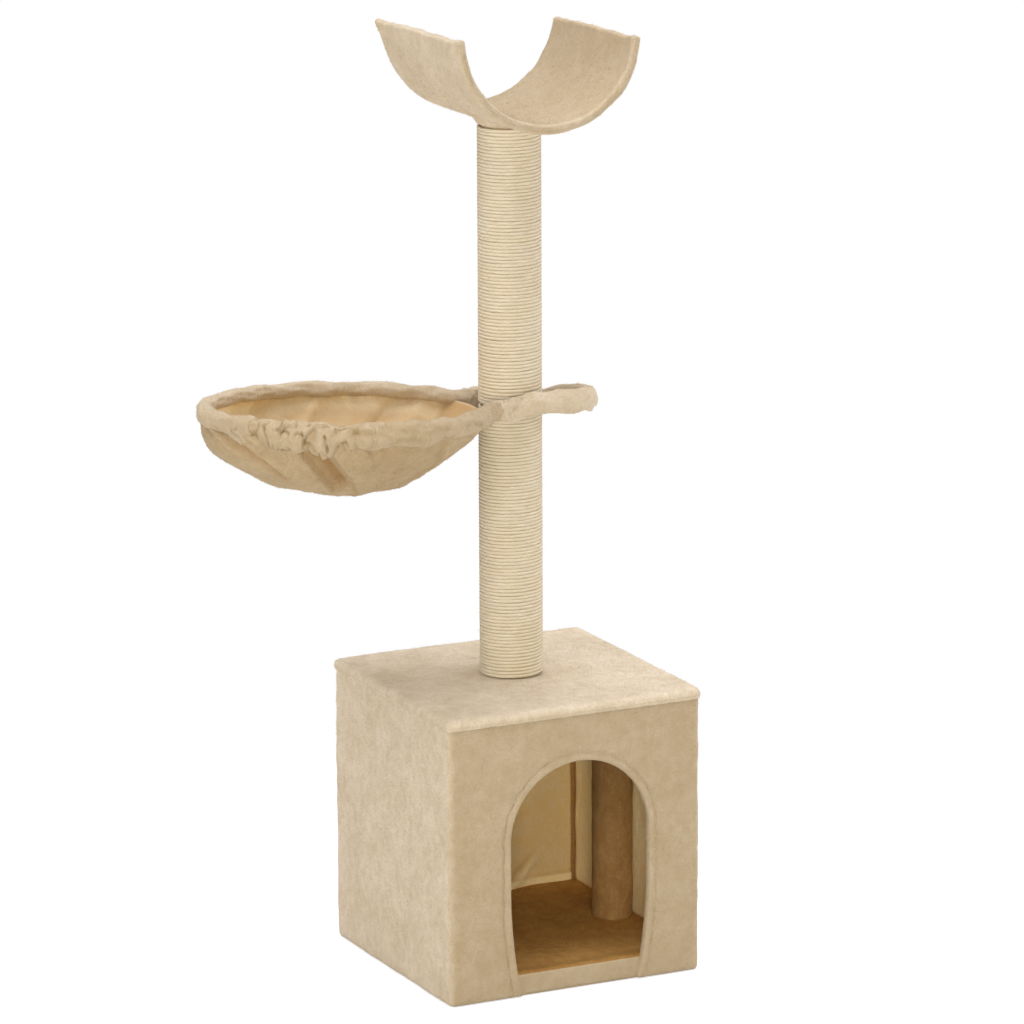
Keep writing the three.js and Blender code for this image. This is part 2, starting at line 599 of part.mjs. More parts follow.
// Distance along the keyhole from the loop's end to a place on the ring, given as an angle at the
// ring's centre measured from the neck.
function ringDistance(angle) {
  const { bendX, touch, loopX } = keyholeSide();
  const neck = LOOP_HALF_WIDTH * Math.PI / 2 + (bendX - loopX) + NECK_BEND_RADIUS * (Math.PI / 2 - touch);
  return neck + RING_RADIUS * (angle - touch);
}

function addHammock() {
  const full = ringDistance(Math.PI);
  const step = 2 * full / KEYHOLE_STEPS;
  const loopSteps = Math.round(ringDistance(radians(SLEEVE_JOINT_ANGLE)) / step);
  const joint = loopSteps * step; // where the two sleeves meet, counted from the loop's end
  const sleeveBore = WIRE_RADIUS + 2 * FIT;

  // The wire's two ends meet at the far point of the ring, with a small gap.
  const half = full - FIT;
  const wirePath = new MeasuredPath(share => keyholePoint(half * (2 * share - 1)));
  add('hammock_frame', sweep(wirePath, WIRE_RADIUS, 0, WIRE_SIDES, KEYHOLE_STEPS), 'wire', hammock);

  const loopHalf = joint - FIT / 2;
  const loopPath = new MeasuredPath(share => keyholePoint(loopHalf * (2 * share - 1)));
  add('loop_sleeve', sweep(loopPath, SLEEVE_RADIUS, sleeveBore, WIRE_SIDES, 2 * loopSteps), 'plush', hammock);

  const rimHalf = full - joint - FIT / 2;
  const rimPath = new MeasuredPath(share => {
    const past = rimHalf * (2 * share - 1); // distance past the ring's far point
    return keyholePoint(past <= 0 ? full + past : past - full);
  });
  const rimSteps = KEYHOLE_STEPS - 2 * loopSteps;
  add('rim_sleeve', sweep(rimPath, SLEEVE_RADIUS, sleeveBore, WIRE_SIDES, rimSteps), 'plush', hammock);

  add('hammock_bowl', bowl().translate(RING_REACH, 0, 0), 'plush', hammock);
}

// The bowl: a plush shell that hangs from under the rim sleeve and closes at a flat round floor.
function bowl() {
  const rimHeight = -SLEEVE_RADIUS - FIT;
  const wall = (rimRadius, floorHeight) => Array.from({ length: BOWL_WALL_STEPS + 1 }, (_, step) => {
    const share = step / BOWL_WALL_STEPS;
    const swell = 1 - share ** BOWL_FULLNESS;
    return [
      BOWL_FLOOR_RADIUS + (rimRadius - BOWL_FLOOR_RADIUS) * swell,
      rimHeight + (floorHeight - rimHeight) * share,
    ];
  });
  const outer = wall(RING_RADIUS, -BOWL_DEPTH).reverse();
  const inner = wall(RING_RADIUS - PLUSH, PLUSH - BOWL_DEPTH);
  const profile = [[0, -BOWL_DEPTH], ...outer, ...inner, [0, PLUSH - BOWL_DEPTH]];
  const lean = new THREE.Matrix4().makeShear(0, 0, 0, 0, -BOWL_DRIFT / BOWL_DEPTH, 0);
  return turned(profile, BOWL_SEGMENTS).applyMatrix4(lean);
}

addBase();
addRoof();
addWalls();
addArchHem();
addInnerPosts();
addPost();
addPerch();
addHammock();

export default root;
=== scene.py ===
import json
import math
import bmesh
import bpy
import numpy as np
from mathutils import Matrix, Vector
from mathutils.bvhtree import BVHTree


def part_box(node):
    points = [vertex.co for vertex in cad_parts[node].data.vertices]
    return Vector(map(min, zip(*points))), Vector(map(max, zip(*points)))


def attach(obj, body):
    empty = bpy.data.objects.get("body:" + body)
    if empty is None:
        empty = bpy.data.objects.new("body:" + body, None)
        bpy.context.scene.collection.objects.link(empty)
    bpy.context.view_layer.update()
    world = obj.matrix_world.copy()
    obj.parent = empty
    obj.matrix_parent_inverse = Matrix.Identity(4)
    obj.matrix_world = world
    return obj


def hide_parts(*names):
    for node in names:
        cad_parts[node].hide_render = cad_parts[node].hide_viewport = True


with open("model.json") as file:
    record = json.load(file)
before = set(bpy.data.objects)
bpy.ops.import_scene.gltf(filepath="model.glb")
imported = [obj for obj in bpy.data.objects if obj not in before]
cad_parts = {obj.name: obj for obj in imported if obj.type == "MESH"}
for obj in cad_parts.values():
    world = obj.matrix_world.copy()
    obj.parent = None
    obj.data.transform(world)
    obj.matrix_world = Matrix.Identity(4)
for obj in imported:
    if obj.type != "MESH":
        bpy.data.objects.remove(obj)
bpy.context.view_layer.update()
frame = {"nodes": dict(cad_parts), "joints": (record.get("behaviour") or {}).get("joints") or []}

# A cat tree: a plush box house with an arched doorway, a post wound with sisal rope, a plush hammock
# on a wire ring that grips the post, and a half-pipe perch on top. Shapes are worked out in
# millimetres and become metres when a mesh is made.
MM = 0.001


def box_mm(node):
    """The lowest and highest corners of a CAD node, in millimetres."""
    low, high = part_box(node)
    return np.array(low) / MM, np.array(high) / MM


# ---- Sizes and places ------------------------------------------------

FIT = 0.3  # gap between pieces that touch
PLUSH = 2.4
LINING = 1.8
HEM_WIDTH = 8.5
HEM_WRAP = 1.8
HEM_SEWN = 7.0  # from the doorway's edge to the groove in which the hem is sewn down
HEM_LAP = 1.2  # how far the hem lies over the wall's plush
ARCH_TAPER = 13
ARCH_TAPER_HEIGHT = 120
ROOF_EDGE = 5.0  # rounding of the roof's upper edge
HOUSE_CORNER = 7
FRONT_PAINTED_SHADE = 0.55  # painted shade: the front's plush is drawn darker and yellower than the sides and the roof
FLOOR_CORNER = 4
FLOOR_EDGE = 3.9  # rounding of the floor's upper edge
FLOOR_ROLL = 2.1  # how far the brown finish of the floor, its painted shade, comes down over its front edge
BACK_LINING_SHORT = 5.5  # how far the back lining stops short of its right end
CLOTH_CELL = 4.4  # between points of the house's cloth
SEAM_CELL = 2.6  # between points along the doorway's edge

cover_low, cover_high = box_mm("wall_cover")
roof_low, roof_high = box_mm("roof_cover")
hem_low, hem_high = box_mm("arch_hem")
post_low = box_mm("lower_sisal_rope")[0]
post_high = box_mm("upper_sisal_rope")[1]
HALF_WIDTH, HALF_DEPTH = cover_high[:2]
ROOF_TOP = roof_high[2]
SEAM_HEIGHT = roof_low[2]
FLOOR_TOP = box_mm("base_cover")[1][2]
ARCH_X = (hem_low[0] + hem_high[0]) / 2
ARCH_RADIUS = (hem_high[0] - hem_low[0]) / 2 - HEM_WIDTH
ARCH_SPRING = hem_high[2] - HEM_WIDTH - ARCH_RADIUS
POST_RADIUS = (post_high[0] - post_low[0]) / 2
POST_X = (post_high[0] + post_low[0]) / 2
POST_Y = (post_high[1] + post_low[1]) / 2

# The hammock's frame: the wire's plane is tilted on the post, and +X runs from the post to the basket.
joint_places = {joint["name"]: joint["pos_m"] for joint in frame["joints"]}
HAMMOCK_CENTRE = np.array(joint_places["hammock_swivel"]) / MM
HAMMOCK_TURN = (3.3, -2.2, 175)  # degrees about X, Y and Z
RING_RADIUS = 151
RING_REACH = 190
SLEEVE_RADIUS = 10
LOOP_REACH = 90
LOOP_RISE = 4
NECK_BEND_RADIUS = 26
LOOP_HALF_WIDTH = POST_RADIUS + SLEEVE_RADIUS + 2 * FIT
SLEEVE_JOINT_ANGLE = 16
SLEEVE_OVERLAP = 9  # how far the rim's sleeve reaches over the loop's
BOWL_DEPTH = 84

# The perch, tilted a little on the top of the post.
PERCH_OUTER = 108.5
PERCH_INNER = 99.1
PERCH_HALF_ANGLE = 85.5
PERCH_LENGTH = 212
PERCH_ROLL = 2.4
PERCH_PITCH = 1.8
PERCH_YAW = -2
PERCH_SHIFT = 3.4
PERCH_EDGE = 3.9  # rounding of the padded ends
PERCH_TIP = 3.2  # rounding of the two free edges
PERCH_SEAT = post_high[2] + FIT + POST_RADIUS * math.sin(math.radians(PERCH_PITCH))


# ---- Camera and light ------------------------------------------------

CAMERA_PLACE = (-2.91934, -5.94001, 2.12814)  # metres
CAMERA_TURN = (26.147, 13.804, -0.256)  # azimuth, elevation and roll in degrees


def add_camera():
    camera = bpy.data.objects.new("camera", bpy.data.cameras.new("camera"))
    camera.data.lens = 219.95
    camera.data.sensor_width = 36
    camera.data.clip_end = 60
    azimuth, elevation, roll = (math.radians(angle) for angle in CAMERA_TURN)
    forward = Vector((
        math.sin(azimuth) * math.cos(elevation),
        math.cos(azimuth) * math.cos(elevation),
        -math.sin(elevation),
    ))
    right = forward.cross(Vector((0, 0, 1))).normalized()
    up = right.cross(forward)
    tilted_right = right * math.cos(roll) + up * math.sin(roll)
    tilted_up = up * math.cos(roll) - right * math.sin(roll)
    turn = Matrix((tilted_right, tilted_up, -forward)).transposed().to_4x4()
    camera.matrix_world = Matrix.Translation(CAMERA_PLACE) @ turn
    bpy.context.scene.collection.objects.link(camera)
    bpy.context.scene.camera = camera


def add_softbox(name, place, target, size, power, colour):
    """A square lamp that points at a place."""
    lamp = bpy.data.lights.new(name, "AREA")
    lamp.shape = "SQUARE"
    lamp.size = size
    lamp.energy = power
    lamp.color = colour
    softbox = bpy.data.objects.new(name, lamp)
    softbox.location = place
    softbox.rotation_euler = (softbox.location - Vector(target)).to_track_quat("Z", "Y").to_euler()
    bpy.context.scene.collection.objects.link(softbox)


# ---- Materials -------------------------------------------------------

def linear(hex_colour):
    """An sRGB hex colour as linear RGBA."""
    values = [int(hex_colour[i:i + 2], 16) / 255 for i in (1, 3, 5)]
    return [v / 12.92 if v <= 0.04045 else ((v + 0.055) / 1.055) ** 2.4 for v in values] + [1]


def add_node(tree, kind, output=0, **given):
    """Adds a node and returns one of its outputs. A name in small letters is a setting of the node,
    and settings come first. A capital name (with _ for a space), or "at" and a number, is an input,
    which takes a link, a value or a hex colour."""
    node = tree.nodes.new(kind)
    for name, value in given.items():
        if name[2:].isdigit():
            socket = node.inputs[int(name[2:])]
        elif name[0].isupper():
            socket = node.inputs[name.replace("_", " ")]
        else:
            setattr(node, name, value)
            continue
        if isinstance(value, bpy.types.NodeSocket):
            tree.links.new(value, socket)
        else:
            socket.default_value = linear(value) if isinstance(value, str) else value
    return node.outputs[output] if node.outputs else None


def new_finish(name):
    """An empty material and its tree."""
    finish = bpy.data.materials.new(name)
    finish.use_nodes = True
    finish.node_tree.nodes.clear()
    return finish, finish.node_tree


def close_finish(tree, **given):
    """Ends a material with its shader and what that is given."""
    surface = add_node(tree, "ShaderNodeBsdfPrincipled", **given)
    add_node(tree, "ShaderNodeOutputMaterial", Surface=surface)


def spots(tree, place, size_mm, detail, low=0.35, high=0.65):
    """A soft random pattern from 0 to 1 with features of about one size."""
    noise = add_node(
        tree, "ShaderNodeTexNoise", Vector=place, Scale=1 / (size_mm * MM), Detail=detail,
        Roughness=0.55,
    )
    return add_node(tree, "ShaderNodeMapRange", Value=noise, From_Min=low, From_Max=high)


def layered(tree, colour, *layers):
    """A colour with others laid over it, each as far as its share says."""
    for share, layer in layers:
        colour = add_node(
            tree, "ShaderNodeMix", 2, data_type="RGBA", at0=share, at6=colour, at7=layer
        )
    return colour


def plush_finish(name, lying, standing, root, tint, painted_shade_colour, sheen=0.25, marked="shade"):
    """Knitted polyester plush with a short cut pile. It is matt, with a faint velvet glow at grazing
    angles. Where the pile lies over it reads darker and yellower than where it stands up, in patches
    some centimetres across, and single tufts show as a fine fleck. Painted shade lays a deeper colour
    where the mesh marks it with an attribute: in the valleys of folds, and wherever less light should
    seem to fall. Tufts and fibres are drawn about twice as coarse as they are, or they wouldn't show."""
    finish, tree = new_finish(name)
    place = add_node(tree, "ShaderNodeTexCoord", "Object")
    brushed = spots(tree, place, 38, 3.0, 0.36, 0.64)
    stroked = add_node(tree, "ShaderNodeMapping", Vector=place, Scale=(1, 1, 0.8))
    strokes = spots(tree, stroked, 9, 3.0, 0.33, 0.67)
    tufts = spots(tree, place, 2.6, 2.0, 0.3, 0.7)
    fibres = spots(tree, place, 0.9, 2.0, 0.3, 0.7)
    nap = add_node(tree, "ShaderNodeMix", at0=0.55, at2=brushed, at3=strokes)
    between_tufts = add_node(
        tree, "ShaderNodeMath", operation="MULTIPLY_ADD", at0=tufts, at1=-0.34, at2=0.34
    )
    fibre_tips = add_node(tree, "ShaderNodeMath", operation="MULTIPLY", at0=fibres, at1=0.22)
    painted_shade = add_node(tree, "ShaderNodeAttribute", "Fac", attribute_name=marked)
    colour = layered(
        tree, lying, (nap, standing), (between_tufts, root), (fibre_tips, tint), (painted_shade, painted_shade_colour)
    )
    pile = add_node(tree, "ShaderNodeMix", at0=0.4, at2=tufts, at3=fibres)
    soft = add_node(tree, "ShaderNodeBump", Height=strokes, Strength=0.5, Distance=0.0012)
    relief = add_node(
        tree, "ShaderNodeBump", Height=pile, Strength=0.9, Distance=0.0007, Normal=soft
    )
    close_finish(
        tree, Base_Color=colour, Normal=relief, Roughness=0.95, Specular_IOR_Level=0.15,
        Sheen_Weight=sheen, Sheen_Roughness=0.45, Sheen_Tint=tint,
    )
    return finish


def sisal_finish():
    """Natural sisal, three strands twisted to a hard rope about 4 mm thick: pale straw with a dry,
    fibrous, matt surface, with painted shade, darker and browner, in the grooves between strands."""
    finish, tree = new_finish("twisted natural sisal")
    place = add_node(tree, "ShaderNodeTexCoord", "Object")
    rope = add_node(tree, "ShaderNodeUVMap", uv_map="rope")
    # Fibres about 11 mm long, and nine of them round the rope.
    lengthways = add_node(tree, "ShaderNodeMapping", Vector=rope, Scale=(90, 9, 1))
    fibres = add_node(tree, "ShaderNodeTexNoise", Vector=lengthways, Scale=1.0, Detail=3.0)
    fibres = add_node(tree, "ShaderNodeMapRange", Value=fibres, From_Min=0.3, From_Max=0.7)
    bales = spots(tree, place, 30, 3.0)
    bales = add_node(tree, "ShaderNodeMath", operation="MULTIPLY", at0=bales, at1=0.3)
    groove = add_node(tree, "ShaderNodeAttribute", "Fac", attribute_name="groove")
    colour = layered(
        tree, "#cfc1a3", (fibres, "#e3dac6"), (bales, "#d4c49f"), (groove, "#bba172")
    )
    relief = add_node(tree, "ShaderNodeBump", Height=fibres, Strength=0.6, Distance=0.0003)
    close_finish(
        tree, Base_Color=colour, Normal=relief, Roughness=0.85, Specular_IOR_Level=0.2
    )
    return finish


def plain_finish(name, dark, light, grain_mm, roughness, metallic=0.0, depth=0.0002):
    """A material of one substance with a fine grain."""
    finish, tree = new_finish(name)
    grain = spots(tree, add_node(tree, "ShaderNodeTexCoord", "Object"), grain_mm, 4.0)
    colour = layered(tree, dark, (grain, light))
    relief = add_node(tree, "ShaderNodeBump", Height=grain, Strength=0.6, Distance=depth)
    close_finish(
        tree, Base_Color=colour, Normal=relief, Roughness=roughness, Metallic=metallic
    )
    return finish


def chipboard_finish():
    """Raw chipboard: pressed wood flakes a few millimetres long, each its own shade, sealed with a
    little resin, so dull but not chalky."""
    finish, tree = new_finish("raw chipboard")
    place = add_node(tree, "ShaderNodeTexCoord", "Object")
    stretched = add_node(tree, "ShaderNodeMapping", Vector=place, Scale=(1, 0.45, 1))
    flakes = add_node(
        tree, "ShaderNodeTexVoronoi", "Color", Vector=stretched, Scale=1 / (3.2 * MM)
    )
    shade = add_node(tree, "ShaderNodeSeparateColor", Color=flakes)
    colour = layered(tree, "#8f6d45", (shade, "#cfae7e"))
    relief = add_node(
        tree, "ShaderNodeBump", Height=flakes.node.outputs["Distance"], Strength=0.3,
        Distance=0.0003,
    )
    close_finish(tree, Base_Color=colour, Normal=relief, Roughness=0.75)
    return finish


# ---- Mesh helpers ----------------------------------------------------

def ripple(points, wavelength, seed, waves=16):
    """A smooth random height, mostly from -1 to 1, with bumps about one wavelength across."""
    rng = np.random.default_rng(seed)
    total = np.zeros(points.shape[:-1])
    for _ in range(waves):
        direction = rng.normal(size=3)
        direction *= 2 * math.pi / (wavelength * np.linalg.norm(direction))
        direction *= rng.uniform(0.6, 1.4)
        total += np.sin(points @ direction + rng.uniform(0, 2 * math.pi))
    return total / math.sqrt(waves)


def grid_points(x, y, z):
    """Points of a grid from their coordinates, each one number or given by row, column or point."""
    return np.stack(np.broadcast_arrays(x, y, z), axis=-1)


def smooth_step(value, start, end):
    share = np.clip((value - start) / (end - start), 0, 1)
    return share * share * (3 - 2 * share)


def from_angle(angle, other):
    """How many degrees an angle is past another, the short way round."""
    return (angle - other + 180) % 360 - 180


def at_height(plan, height):
    """The points of an outline in plan, at one height."""
    return grid_points(*plan.T, height)


def unit(vectors):
    return vectors / np.linalg.norm(vectors, axis=-1)[..., None]


def grid_faces(rows, columns, wrap=False):
    index = np.arange(rows * columns).reshape(rows, columns)
    if wrap:
        index = np.hstack([index, index[:, :1]])
    corners = [index[:-1, :-1], index[:-1, 1:], index[1:, 1:], index[1:, :-1]]
    return np.stack(corners, axis=-1).reshape(-1, 4).tolist()


def tube_faces(rings, sides):
    """Faces of a tube with a flat cap at each end."""
    faces = grid_faces(rings, sides, wrap=True)
    last = (rings - 1) * sides
    return faces + [list(range(sides)), list(range(last, last + sides))]


def add_object(name, mesh):
    piece = bpy.data.objects.new(name, mesh)
    bpy.context.scene.collection.objects.link(piece)
    return piece


def turn_outwards(mesh, hanging=False):
    """Turns a closed mesh's faces outwards, or a hanging sheet's so that the lowest looks down."""
    body = bmesh.new()
    body.from_mesh(mesh)
    bmesh.ops.recalc_face_normals(body, faces=body.faces)
    if hanging and min(body.faces, key=lambda face: face.calc_center_median().z).normal.z > 0:
        bmesh.ops.reverse_faces(body, faces=body.faces)
    body.to_mesh(mesh)
    body.free()


def slab_faces(rows, columns):
    """Faces of a slab whose points are two grids, one for each large side."""
    count = rows * columns
    top = np.array(grid_faces(rows, columns))
    index = np.arange(count).reshape(rows, columns)
    loop = np.concatenate([index[0, :-1], index[:-1, -1], index[-1, :0:-1], index[:0:-1, 0]])
    around = [[a, b, b + count, a + count] for a, b in zip(loop, np.roll(loop, -1))]
    return top.tolist() + (top[:, ::-1] + count).tolist() + around


def new_mesh(name, points, faces, closed=True):
    """A smooth mesh object from millimetre points, with its faces turned outwards if it is closed."""
    mesh = bpy.data.meshes.new(name)
    mesh.from_pydata((np.asarray(points).reshape(-1, 3) * MM).tolist(), [], faces)
    if closed:
        turn_outwards(mesh)
    mesh.polygons.foreach_set("use_smooth", [True] * len(mesh.polygons))
    return add_object(name, mesh)


def mark(piece, share, name="shade"):
    """Stores a share at each point of a piece: how far its plush takes the deeper colour of painted
    shade, unless another name is given."""
    attribute = piece.data.attributes.new(name, "FLOAT", "POINT")
    attribute.data.foreach_set("value", np.asarray(share, np.float32).ravel())


def thicken(piece, thickness):
    """Gives an open sheet its thickness, inwards from the modelled side."""
    solidify = piece.modifiers.new("thickness", "SOLIDIFY")
    solidify.thickness = thickness * MM
    solidify.offset = -1
    solidify.use_even_offset = False
    return piece


def finished(piece, body, finish, *nodes, slot="beige_plush"):
    """Gives a piece its material and says which body it rides on and which CAD nodes it stands for."""
    piece.data.materials.clear()
    piece.data.materials.append(finish)
    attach(piece, body)
    if nodes:
        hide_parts(*nodes)
    return piece


def from_post(points):
    """How far places are from the post's axis."""
    return np.hypot(points[..., 0] - POST_X, points[..., 1] - POST_Y)


def rounded_plan(half_width, half_depth, radius, spacing):
    """Points round a rectangle with round corners, anticlockwise, with their outward normals."""
    points, normals = [], []
    sides = ((1, -1, -90), (1, 1, 0), (-1, 1, 90), (-1, -1, 180), (1, -1, -90))
    corner_steps = 6
    corners = [
        (np.array([x * (half_width - radius), y * (half_depth - radius)]), start)
        for x, y, start in sides
    ]
    for (centre, start), (following, next_start) in zip(corners, corners[1:]):
        for step in range(corner_steps + 1):
            angle = math.radians(start + 90 * step / corner_steps)
            normal = np.array([math.cos(angle), math.sin(angle)])
            points.append(centre + radius * normal)
            normals.append(normal)
        turn = math.radians(next_start)
        normal = np.array([math.cos(turn), math.sin(turn)])
        begin, end = points[-1], following + radius * normal
        count = max(2, round(np.linalg.norm(end - begin) / spacing))
        for step in range(1, count):
            points.append(begin + (end - begin) * step / count)
            normals.append(normal)
    return np.array(points), np.array(normals)


# ---- House -----------------------------------------------------------

def house_plan():
    return rounded_plan(HALF_WIDTH, HALF_DEPTH, HOUSE_CORNER, CLOTH_CELL)


def arch_half_width(height):
    below = np.clip((ARCH_TAPER_HEIGHT - height) / ARCH_TAPER_HEIGHT, 0, None)
    return ARCH_RADIUS - ARCH_TAPER * below ** 2


def arch_path():
    """Points up the left leg of the doorway's edge, over the top and down the right leg."""
    low = cover_low[2]
    heights = np.linspace(low, ARCH_SPRING, round((ARCH_SPRING - low) / SEAM_CELL))
    leg = np.stack([arch_half_width(heights), heights], axis=1)
    angles = np.linspace(0, math.pi, round(math.pi * ARCH_RADIUS / SEAM_CELL))[1:-1]
    top = np.stack(
        [ARCH_RADIUS * np.cos(angles), ARCH_SPRING + ARCH_RADIUS * np.sin(angles)], axis=1
    )
    whole = np.vstack([leg * [-1, 1], top[::-1], leg[::-1]])
    tangent = unit(np.gradient(whole, axis=0))
    out = np.stack([-tangent[:, 1], tangent[:, 0]], axis=1)
    return whole + [ARCH_X, 0], out


def cut_doorway(points, faces, edge, front=True):
    """Leaves out a sheet's faces in the doorway, where it is at the front, and draws the border of the
    rest to one distance from the doorway's edge. Returns which points are still used, and the faces."""
    across = points[:, 0] - ARCH_X
    rise = np.maximum(points[:, 2] - ARCH_SPRING, 0)
    round_top = points[:, 2] > ARCH_SPRING
    reach = np.hypot(across, rise)
    beside = abs(across) - arch_half_width(points[:, 2])
    distance = np.where(round_top, reach - ARCH_RADIUS, beside)
    far_away = 1000.0
    distance = np.where(front, distance, far_away)
    out = np.zeros_like(points)
    out[:, 0] = np.where(round_top, across / np.maximum(reach, 1), np.sign(across))
    out[:, 2] = np.where(round_top, rise / np.maximum(reach, 1), 0)
    kept = distance[faces].mean(axis=1) > edge
    border = np.intersect1d(faces[kept].ravel(), faces[~kept].ravel())
    points[border] += out[border] * (edge - distance[border])[:, None]
    used = np.unique(faces[kept])
    renumbered = np.zeros(len(points), int)
    renumbered[used] = np.arange(len(used))
    return used, renumbered[faces[kept]]


def side_swell(points):
    """How far the plush stands out from the house's flat sides: soft waves, and the small gathers
    that the seam under the roof pulls into it, which are largest at the front's right end."""
    front_right = smooth_step(points[..., 0], 60, HALF_WIDTH) * (points[..., 1] < 0)
    gathers = (0.3 + 0.75 * front_right) * ripple(points * [1, 1, 0.4], 15, 13)
    gathers += (0.12 + 0.3 * front_right) * ripple(points * [1, 1, 0.3], 5.5, 14)
    near_seam = np.exp(-((points[..., 2] - SEAM_HEIGHT) / 9) ** 2)
    waves = 0.35 * ripple(points, 75, 11) + 0.2 * ripple(points, 22, 12)
    return 0.7 + waves + near_seam * gathers


def make_wall_cover():
    plan, normals = house_plan()
    low, high = cover_low[2], cover_high[2]
    heights = np.concatenate([
        [low, low + 0.7, low + 2.2], np.linspace(low + 5, high - 6, 66),
        [high - 3.6, high - 1.6, high - 0.7, high],
    ])
    inset = 1.9 * (1 - smooth_step(heights, low - 0.6, low + 3.2))
    inset += 0.9 * smooth_step(heights, high - 1.2, high)
    x, y = np.moveaxis(plan - inset[:, None, None] * normals, -1, 0)
    points = grid_points(x, y, heights[:, None]).reshape(-1, 3)
    outward = np.tile(at_height(normals, 0), (len(heights), 1))
    points += outward * side_swell(points)[:, None]
    faces = np.array(grid_faces(len(heights), len(plan), wrap=True))
    front = points[:, 1] < -HALF_DEPTH + PLUSH + 2
    used, faces = cut_doorway(points, faces, HEM_WIDTH - HEM_LAP, front)
    piece = new_mesh("wall_plush", points[used], faces.tolist(), closed=False)
    # Painted shade on the faces that look forwards.
    mark(piece, FRONT_PAINTED_SHADE * np.clip(-outward[used][:, 1], 0, 1))
    return thicken(piece, PLUSH)


def make_roof_cover():
    plan, normals = house_plan()
    hub = np.array([POST_X, POST_Y])
    bore = 6.0
    start = hub + bore * (plan - hub) / np.linalg.norm(plan - hub, axis=1)[:, None]
    rim = plan - ROOF_EDGE * normals
    flat_rows = 42
    shares = np.linspace(0, 1, flat_rows) ** 0.9
    rows = [at_height(start + (rim - start) * share, ROOF_TOP) for share in shares]
    for angle in np.radians(np.linspace(13, 90, 7)):
        drop = ROOF_EDGE * (1 - math.cos(angle))
        rows.append(at_height(rim + ROOF_EDGE * math.sin(angle) * normals, ROOF_TOP - drop))
    for height, inset in ((1.6, 0.0), (0.5, 0.35), (0, 0.9)):
        rows.append(at_height(plan - inset * normals, SEAM_HEIGHT + height))
    points = np.array(rows)
    rise = 0.35 * ripple(points, 80, 21) + 0.16 * ripple(points, 20, 22)
    rise -= 1.5 * np.exp(-((from_post(points) - POST_RADIUS) / 5) ** 2)
    edge_share = smooth_step(np.arange(len(rows))[:, None], flat_rows - 3, flat_rows + 6)
    swell = side_swell(points) * edge_share
    points[..., 2] += rise * (1 - edge_share) + 0.3
    points[..., :2] += swell[..., None] * normals[None]
    faces = grid_faces(len(rows), len(plan), wrap=True)
    return thicken(new_mesh("roof_plush", points, faces, closed=False), PLUSH)


# The hem's band in section: outwards from the doorway's edge, then back from the wall's face.
HEM_SECTION = np.array([
    (8.0, 2.1), (8.7, 0.6), (8.5, -0.5), (7.7, -0.9), (7.0, -0.5), (6.3, -1.0), (5.0, -1.9),
    (3.3, -2.2), (1.6, -2.0), (0.3, -1.3), (-0.5, 0.0), (-0.8, 1.8), (-0.7, 4.2), (-0.4, 6.4),
    (0.3, 7.9), (1.3, 8.2), (1.7, 7.2), (1.8, 2.6), (4.0, 2.2),
])


def make_hem():
    path, out = arch_path()
    low = cover_low[2]
    along = np.cumsum(np.r_[0, np.linalg.norm(np.diff(path, axis=0), axis=1)])
    plump = 1 + 0.16 * ripple(grid_points(along, 0, 0), 19, 31)
    plump *= 0.35 + 0.65 * smooth_step(path[:, 1], low, low + 16)
    outwards, back = HEM_SECTION.T
    x, z = np.moveaxis(path[:, None] + outwards[:, None] * out[:, None], -1, 0)
    proud = np.minimum(back, 0) * plump[:, None] + np.maximum(back, 0)
    points = grid_points(x, proud - HALF_DEPTH, np.maximum(z, low + 0.6))
    piece = new_mesh("doorway_hem", points, tube_faces(len(path), len(HEM_SECTION)))
    # Painted shade, as on the house's front.
    mark(piece, np.full(points.shape[:2], FRONT_PAINTED_SHADE))
    return piece


def back_fold(across, height):
    """Where places on the back lining lie: how far above its slanted fold, how near along it, and
    whether above the turned hem."""
    fold = (height - FLOOR_TOP - 2) * 0.743 - (across - 55) * 0.669
    near = smooth_step(across, 30, 50) * (1 - smooth_step(across, 76, 100))
    return fold, near, smooth_step(height, FLOOR_TOP + 9, FLOOR_TOP + 13)


def back_creases(across, height):
    """A slack diagonal fold in the back lining, and the turned hem along its bottom edge, both
    standing out into the house."""
    fold, near, above_hem = back_fold(across, height)
    width = np.where(fold > -2, 2.8, 8.0)
    return -4.6 * np.exp(-((fold + 2) / width) ** 2) * near - 2.0 * (1 - above_hem)


def lining_shade(points):
    """Painted shade on the left and back linings: least along the back's turned hem."""
    fold, near, above_hem = back_fold(points[:, 0], points[:, 2])
    above_fold = 1 - 0.6 * near * (1 - smooth_step(fold, -1, 3))
    crease = 0.7 * near * np.exp(-((fold - 5) / 3.5) ** 2)
    edge = np.exp(-((points[:, 2] - FLOOR_TOP - 12) / 1.5) ** 2)
    return 0.14 + 0.34 * above_hem * above_fold + 0.3 * crease + 0.22 * edge


